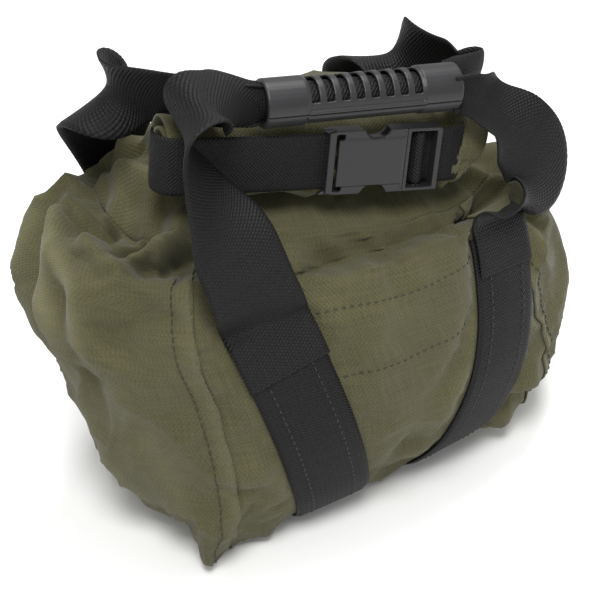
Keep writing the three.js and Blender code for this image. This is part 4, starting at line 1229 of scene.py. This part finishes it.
class SANDBAG_OT_wrap_grip(bpy.types.Operator):
    """The wrap grip: two moulded half shells, slotted on top, hinged behind and snapped shut in front"""

    bl_idname = "sandbag.wrap_grip"
    bl_label = "Wrap grip"

    def execute(self, context):
        for name, node, body in (
            ("grip_cover_shell", "grip_upper_shell", "grip_cover"),
            ("grip_base_shell", "grip_lower_shell", "handle"),
        ):
            moulded(name, [node_mesh(node)], 0.42, 5, body, [node])
        for side in ("front", "back"):
            self.webbing_in_bore(side)
        return {"FINISHED"}

    def webbing_in_bore(self, side):
        """Half of the gathered webbing inside the grip, seen through the slots."""
        sign = -1 if side == "front" else 1
        radius = BORE_R - 1.0
        along = np.arange(-GRIP_LENGTH / 2 + 4, GRIP_LENGTH / 2 - 4, ROW_STEP)
        turn = np.radians(np.linspace(90, 270, 21)) if sign < 0 else np.radians(np.linspace(-90, 90, 21))
        pitch = bpy.context.scene.sandbag_sizes.rib * 1000
        rib = BORE_RIB * np.abs(np.sin(math.pi * along / pitch))[:, None]
        size = radius - 0.3 + rib
        y = np.minimum(size * np.cos(turn), -0.15) if sign < 0 else np.maximum(size * np.cos(turn), 0.15)
        grid = np.stack(np.broadcast_arrays(along[:, None], y, size * np.sin(turn)), -1)
        uvs = np.stack(np.broadcast_arrays(turn * radius, along[:, None]), -1)
        name = "grip_webbing_" + side
        piece = closed_object("gathered_" + name, from_grip(grid), finish_of("webbing"), uvs)
        place(piece, "handle", "webbing", name)


# ---- buckle -------------------------------------------------------------------------------------------

BUCKLE_LEFT, BUCKLE_WIDTH, BUCKLE_THICK = -3.0, 37.0, 9.5
HOUSING_LENGTH, FRAME_LENGTH = 46.0, 21.0
ROLL_R = 21.3
BAND_Y = -(ROLL_R + 0.3 + BUCKLE_THICK / 2)
HOUSING_END = BUCKLE_LEFT + HOUSING_LENGTH
FRAME_END = HOUSING_END + FRAME_LENGTH


class SANDBAG_OT_buckle(bpy.types.Operator):
    """The side-release buckle: a housing with a horn at each left corner, a frame and two sprung arms"""

    bl_idname = "sandbag.buckle"
    bl_label = "Buckle"

    def execute(self, context):
        half = BUCKLE_WIDTH / 2
        horn = [(-3.5, 0.3), (4, 0.5), (4, -3.2), (-0.5, -1.6)]
        horns = [prism_mesh([(BUCKLE_LEFT + x, side * (half + z)) for x, z in horn],
                            (BAND_Y - 2.2, BAND_Y + 1.5), from_roll) for side in (-1, 1)]
        crown = block_mesh((BUCKLE_LEFT + 5.5, BAND_Y - BUCKLE_THICK / 2 - 0.7, -half + 5),
                           (HOUSING_END - 1.5, BAND_Y - BUCKLE_THICK / 2 + 1, half - 5), from_roll)
        mouth = block_mesh((HOUSING_END - 1.2, BAND_Y - BUCKLE_THICK / 2 - 0.45, -half),
                           (HOUSING_END, BAND_Y - BUCKLE_THICK / 2 + 1, half), from_roll)
        moulded("buckle_housing_shell", [node_mesh("buckle_housing"), crown, mouth, *horns], 0.36, 4,
                "bag", ["buckle_housing"])
        bar = block_mesh((FRAME_END - 2.7, BAND_Y - BUCKLE_THICK / 2 - 0.5, -half + 0.6),
                         (FRAME_END + 0.3, BAND_Y + 2, half - 0.6), from_roll)
        moulded("buckle_frame_shell", [node_mesh("buckle_frame"), bar], 0.34, 3, "bag", ["buckle_frame"])
        for side in ("upper", "lower"):
            moulded("release_arm_%s_prong" % side, [node_mesh("release_arm_" + side)], 0.26, 3,
                    "arm_" + side, ["release_arm_" + side])
        return {"FINISHED"}


# ---- band -----------------------------------------------------------------------------------------------

BAND_WIDTH, BAND_THICK = 32.0, 1.6
ROLL_LEFT, ROLL_RIGHT = -90.0, 70.0
BAND_LEFT = ROLL_LEFT - 7
BAND_RIGHT = ROLL_RIGHT + 2.6
BANDS = {
    "roll_band_left": [
        {"at": (BUCKLE_LEFT + 5.5, BAND_Y + 0.6, 0)}, {"at": (BUCKLE_LEFT - 0.3, BAND_Y, 0)},
        {"at": (BUCKLE_LEFT - 20.3, BAND_Y, 0)}, {"at": (BAND_LEFT + 22, BAND_Y + 2, 0)},
        {"at": (BAND_LEFT + 5, BAND_Y + 3.5, 0)}, {"at": (BAND_LEFT, BAND_Y + 14, 0)},
        {"at": (BAND_LEFT + 2, BAND_Y + 23, 0)},
    ],
    "roll_band_right": [
        {"at": (FRAME_END - 8, BAND_Y + 3.2, 0)}, {"at": (FRAME_END + 0.5, BAND_Y + 2.6, 0)},
        {"at": (FRAME_END + 6, BAND_Y + 1, 0)}, {"at": (BAND_RIGHT + 4, BAND_Y + 1, 0)},
        {"at": (BAND_RIGHT + 12, BAND_Y + 6, 0)}, {"at": (BAND_RIGHT + 12, BAND_Y + 14, 0)},
    ],
}


def in_roll_frame(stations):
    upright = from_roll([0, 0, 1]) - from_roll([0, 0, 0])
    return [{**s, "at": from_roll(s["at"]), "across": upright} for s in stations]


class SANDBAG_OT_roll_band(bpy.types.Operator):
    """The band that holds the roll shut: narrower webbing, and the turn of it round the buckle's bar"""

    bl_idname = "sandbag.roll_band"
    bl_label = "Roll band"

    def execute(self, context):
        for name, stations in BANDS.items():
            piece, run = ribbon("webbing_" + name, in_roll_frame(stations), BAND_THICK, BAND_WIDTH)
            place(piece, "bag", "webbing", name)
        self.turn_round_bar()
        return {"FINISHED"}

    def turn_round_bar(self):
        """The band comes up through the frame, goes over its bar and back down."""
        bar = HOUSING_END + 0.3 + 2.2 + 5.4 + 2
        turn = [(-4.4, 3.2), (-3.9, -1.2), (-2.6, -3.4), (0, -4.3), (2.6, -3.4), (3.9, -1.2), (4.4, 3.2)]
        stations = [{"at": (bar + x, BAND_Y + y, 0)} for x, y in turn]
        piece, _ = ribbon("webbing_band_turn", in_roll_frame(stations), BAND_THICK, BAND_WIDTH - 0.6)
        place(piece, "bag", "webbing", "roll_band_buckle_turn")


# ---- roll-top -------------------------------------------------------------------------------------------


class SANDBAG_OT_roll_top(bpy.types.Operator):
    """The canvas mouth rolled up on itself, its neck behind, and the gusset that puffs out at its end"""

    bl_idname = "sandbag.roll_top"
    bl_label = "Roll-top"

    def execute(self, context):
        self.rolled_mouth()
        self.neck()
        self.gusset()
        self.tongue()
        return {"FINISHED"}

    def rolled_mouth(self):
        """A spiral sheet along the roll, pressed a little flat and dented where the band pulls it."""
        turns, core, start = 2.25, 9.4, math.radians(92)
        around = np.linspace(0, 1, 190)
        along = np.linspace(ROLL_LEFT, ROLL_RIGHT, 90)
        angle = start + around * turns * 2 * math.pi
        t, x = np.meshgrid(around, along)
        radius = core + (ROLL_R - core) * t - 1.3
        turn = angle[None]
        slack = 0.9 * np.sin(x / 11 + turn * 1.5) * t + 0.6 * np.sin(x / 5.1 - turn * 2.2) * t
        flare = 2.2 * t * np.exp(-((x - ROLL_RIGHT) / 8) ** 2) + 1.6 * t * np.exp(-((x - ROLL_LEFT) / 8) ** 2)
        front = np.clip(-np.cos(turn), 0, 1) ** 2
        pressed = 1 - front * np.exp(-((np.sin(turn) * radius / 17) ** 4))
        radius = radius + (slack + flare - 0.6) * np.where(t > 0.5, pressed, 0.5)
        grid = np.stack([x, radius * np.cos(turn), radius * np.sin(turn)], -1)
        outwards = np.stack(np.broadcast_arrays(0.0 * x, np.cos(turn), np.sin(turn)), -1)
        outer, inner = from_roll(grid + outwards * 1.0), from_roll(grid - outwards * 0.9)
        across = run_lengths(outer, 1)
        uvs = np.stack([across, np.broadcast_to((x - ROLL_LEFT), across.shape)], -1)
        piece = sheet_object("rolled_canvas_mouth", outer, inner, finish_of("canvas"), uvs,
                             {"wear": np.zeros_like(x)})
        place(piece, "bag", "canvas", "rolled_mouth")

    def neck(self):
        """The cloth between the body and the roll: it closes over the sand in soft folds."""
        surface = bag_surface()
        degrees = surface.degrees
        levels = np.linspace(SEAM_LEVEL, TOP_LEVEL, 64)
        angle, level = np.meshgrid(degrees, levels)
        base = skin(angle, level)
        middle = np.array([0, 20, BODY_HEIGHT])
        normals = grid_normals(base, True, middle)
        join = surface.points[-1] - base[0]
        fade = np.clip(1 - (level - SEAM_LEVEL) / 0.8, 0, 1)[..., None]
        rise = np.clip((level - SEAM_LEVEL) / 0.6, 0, 1)
        move = 4.5 * wavy(base, 38, 9.1) + 3.0 * ridged(base, 44, 4.4) - 1.5
        for line, depth, width in NECK_CREASES:
            shift, _ = crease_depth(base, line, depth, width)
            move += shift
        grid = base + join * fade + normals * (move * rise)[..., None]
        outwards = grid_normals(grid, True, middle)
        inner = grid - outwards * NECK_THICK
        across = np.cumsum(np.linalg.norm(np.roll(grid[0], -1, 0) - grid[0], axis=-1))
        uvs = np.stack([np.broadcast_to(across, grid.shape[:2]), run_lengths(grid, 0)], -1)
        piece = self.open_shell("canvas_mouth_neck", grid, inner, uvs)
        place(piece, "bag", "canvas", "mouth_neck")

    def open_shell(self, name, outer, inner, uvs):
        """A sheet that is closed sideways, open below, and gathered shut at the top."""
        rows, columns = outer.shape[:2]
        size = rows * columns
        faces = list(grid_faces(rows, columns, closed=True))
        faces += list(grid_faces(rows, columns, size, closed=True, flip=True))
        faces += [(c, (c + 1) % columns, (c + 1) % columns + size, c + size)[::-1] for c in range(columns)]
        top = (rows - 1) * columns
        tips = np.array([outer[-1].mean(0), inner[-1].mean(0)])
        faces += [(top + c, top + (c + 1) % columns, 2 * size) for c in range(columns)]
        faces += [(size + top + (c + 1) % columns, size + top + c, 2 * size + 1) for c in range(columns)]
        points = np.vstack([outer.reshape(-1, 3), inner.reshape(-1, 3), tips])
        flat_uvs = uvs.reshape(-1, 2)
        both = np.vstack([flat_uvs, flat_uvs, flat_uvs[-1:], flat_uvs[-1:]])
        return new_object(name, points, faces, finish_of("canvas"), both,
                          {"wear": np.zeros(len(points))})

    def gusset(self):
        """Puffed lobes of canvas past the right end of the roll, under a loose outer turn."""
        lobes = [
            ((80, -6, 3), (10, 13, 19), 20, 1.7),
            ((82, -13, -12), (11, 9, 9), -15, 5.2),
            ((76, -18, -7), (9, 7, 15), 10, 8.8),
            ((90, 4, -2), (9, 12, 15), 25, 3.3),
        ]
        for number, (at, radii, lean, seed) in enumerate(lobes):
            turn, rise = np.meshgrid(np.linspace(0, 2 * math.pi, 60, endpoint=False),
                                     np.linspace(-88, 88, 36))
            rise = np.radians(rise)
            ball = np.stack([np.cos(rise) * np.cos(turn), np.cos(rise) * np.sin(turn), np.sin(rise)], -1)
            dents = 1 + 0.16 * wavy(ball, 0.7, seed) + 0.1 * wavy(ball, 0.3, seed + 2)
            pinch = 1 - 0.12 * np.exp(-((turn - 3.6) / 0.25) ** 2)
            ball = ball * (dents * pinch)[..., None] * np.array(radii)
            tip = Euler((0, math.radians(lean), 0)).to_matrix()
            grid = ball @ np.array(tip).T + np.array(at)
            uvs = np.stack([turn * radii[0], rise * radii[2]], -1)
            piece = closed_object("gusset_lobe_%d" % (number + 1), from_roll(grid), finish_of("canvas"), uvs)
            place(piece, "bag", "canvas", *(["mouth_wing"] if number == 0 else []))
        self.outer_turn()

    def outer_turn(self):
        """The loose outer turn of canvas that stands over the lobes."""
        turn = np.radians(np.linspace(-75, 120, 60))
        along = np.linspace(ROLL_RIGHT - 4, ROLL_RIGHT + 32, 34)
        angle, x = np.meshgrid(turn, along)
        out = (x - ROLL_RIGHT) / 32
        radius = 20 + 3.5 * np.clip(out, 0, 1) - 9 * np.clip(out - 0.45, 0, 1) ** 1.5
        radius = radius + 1.2 * np.sin(angle * 4 + x / 6) * np.clip(out, 0, 1)
        reach = 1 - 0.5 * np.clip(out, 0, 1) * (np.abs(angle - 0.4) / 1.7) ** 2
        x = ROLL_RIGHT - 4 + (x - ROLL_RIGHT + 4) * reach
        y, z = radius * np.sin(angle - 1.2), radius * np.cos(angle - 1.2)
        grid = np.stack([x, y, z], -1)
        outwards = np.stack([np.zeros_like(x), np.sin(angle - 1.2), np.cos(angle - 1.2)], -1)
        uvs = np.stack([angle * 20, x], -1)
        piece = sheet_object("canvas_outer_turn", from_roll(grid), from_roll(grid - outwards * 1.2),
                             finish_of("canvas"), uvs, {"wear": np.zeros_like(x)})
        place(piece, "bag", "canvas")

    def tongue(self):
        """The folded lip of canvas that hangs below the band, left of the buckle."""
        along = np.linspace(-62, 4, 60)
        down = np.linspace(0, 1, 22)
        s, x = np.meshgrid(down, along)
        drop = 13 + 3 * np.sin(x / 17) + 5 * np.clip((x + 20) / 24, 0, 1) - 8 * np.clip((x + 6) / 10, 0, 1)
        bulge = 6.5 * np.sin(math.pi * s) ** 0.8
        y = BAND_Y + 9.5 - bulge + 7 * s
        z = -BAND_WIDTH / 2 + 3 - s * drop
        grid = np.stack([x, y, z], -1)
        uvs = np.stack([x, s * 18], -1)
        back = grid + np.array([0, 1.4, 0])
        piece = sheet_object("canvas_mouth_lip", from_roll(grid), from_roll(back), finish_of("canvas"), uvs,
                             {"wear": 0.6 * np.exp(-((s - 0.12) / 0.1) ** 2)})
        place(piece, "bag", "canvas")


NECK_THICK = 1.2
# Creases in the neck: points as (degrees, level), then depth and half width.
NECK_CREASES = [
    ([(160, 8.3), (170, 8.8), (176, 9.4)], 7, 7),
    ([(178, 8.3), (192, 8.4), (208, 8.5)], 4, 8),
    ([(208, 8.2), (222, 8.6), (232, 9.0)], 5, 7),
    ([(120, 8.4), (140, 9.4), (150, 10.4)], 6, 8),
    ([(60, 8.4), (80, 9.4), (84, 10.6)], 6, 8),
    ([(20, 8.4), (30, 9.4), (50, 10.4)], 6, 8),
    ([(330, 8.4), (344, 9.0), (2, 9.6)], 6, 8),
    ([(96, 8.6), (104, 9.8), (110, 11)], -5, 8),
]


# ---- stage ------------------------------------------------------------------------------------------------

VIEW_TURN, VIEW_RISE = 31.0, 36.0  # degrees round to the left, and above the floor
VIEW_DISTANCE = 0.9
LENS = 87.5  # on a 36 mm sensor


class SANDBAG_OT_stage(bpy.types.Operator):
    """A plain pale floor, soft studio light and the camera"""

    bl_idname = "sandbag.stage"
    bl_label = "Stage"

    def execute(self, context):
        self.floor(context)
        self.lights(context)
        self.camera(context)
        return {"FINISHED"}

    def floor(self, context):
        mesh = bpy.data.meshes.new("studio_floor")
        size = 6.0
        mesh.from_pydata([(-size, -size, 0), (size, -size, 0), (size, size, 0), (-size, size, 0)], [],
                         [(0, 1, 2, 3)])
        floor = bpy.data.objects.new("studio_floor", mesh)
        context.scene.collection.objects.link(floor)
        material, _, shader = new_material("matt_white_floor")
        shader.inputs["Base Color"].default_value = rgba(context.scene.sandbag_colors.floor)
        shader.inputs["Roughness"].default_value = 0.9
        mesh.materials.append(material)

    def lights(self, context):
        world = bpy.data.worlds.new("studio_sky")
        context.scene.world = world
        world.use_nodes = True
        background = world.node_tree.nodes["Background"]
        background.inputs["Color"].default_value = (1.0, 1.0, 1.0, 1.0)
        background.inputs["Strength"].default_value = 0.62
        aim = Vector((0, 0, 0.12))
        for name, at, size, watts in (
            ("key", (-0.5, -0.75, 1.7), 0.6, 27.0),
            ("top", (0.4, 0.4, 1.9), 0.7, 22.0),
            ("fill", (1.5, -1.0, 0.9), 1.2, 2.5),
        ):
            light = bpy.data.lights.new(name, "AREA")
            light.size = size
            light.energy = watts
            lamp = bpy.data.objects.new(name, light)
            lamp.location = at
            lamp.rotation_euler = (aim - Vector(at)).to_track_quat("-Z", "Y").to_euler()
            context.scene.collection.objects.link(lamp)
        context.scene.view_settings.view_transform = "Standard"

    def camera(self, context):
        data = bpy.data.cameras.new("camera")
        data.lens = LENS
        data.sensor_width = 36.0
        camera = bpy.data.objects.new("camera", data)
        turn, rise = math.radians(VIEW_TURN), math.radians(VIEW_RISE)
        back = Vector((-math.sin(turn) * math.cos(rise), -math.cos(turn) * math.cos(rise), math.sin(rise)))
        target = Vector(to_frame([0, 0, 110]))
        camera.location = target + back * VIEW_DISTANCE
        camera.rotation_euler = (-back).to_track_quat("-Z", "Y").to_euler()
        context.scene.collection.objects.link(camera)
        context.scene.camera = camera


# ---- panel and registration -----------------------------------------------------------------------------

STEPS = (
    SANDBAG_OT_stage,
    SANDBAG_OT_canvas_panels,
    SANDBAG_OT_base_panel,
    SANDBAG_OT_contents,
    SANDBAG_OT_roll_top,
    SANDBAG_OT_body_straps,
    SANDBAG_OT_handle_loops,
    SANDBAG_OT_wrap_grip,
    SANDBAG_OT_buckle,
    SANDBAG_OT_roll_band,
    SANDBAG_OT_stitching,
)


class SANDBAG_PT_panel(bpy.types.Panel):
    """Lists the sandbag's sizes, colours and pieces"""

    bl_label = "Sandbag"
    bl_idname = "SANDBAG_PT_panel"
    bl_space_type = "VIEW_3D"
    bl_region_type = "UI"
    bl_category = "Sandbag"

    def draw(self, context):
        for group in (context.scene.sandbag_sizes, context.scene.sandbag_colors):
            box = self.layout.box()
            for key in group.__annotations__:
                box.prop(group, key)
        for step in STEPS:
            self.layout.operator(step.bl_idname)


CLASSES = (SandbagSizes, SandbagColors, *STEPS, SANDBAG_PT_panel)


def register():
    for each in CLASSES:
        bpy.utils.register_class(each)
    bpy.types.Scene.sandbag_sizes = bpy.props.PointerProperty(type=SandbagSizes)
    bpy.types.Scene.sandbag_colors = bpy.props.PointerProperty(type=SandbagColors)


def unregister():
    del bpy.types.Scene.sandbag_colors
    del bpy.types.Scene.sandbag_sizes
    for each in reversed(CLASSES):
        bpy.utils.unregister_class(each)


def main():
    register()
    for step in STEPS:
        group, name = step.bl_idname.split(".")
        getattr(getattr(bpy.ops, group), name)()


if __name__ == "__main__":
    main()
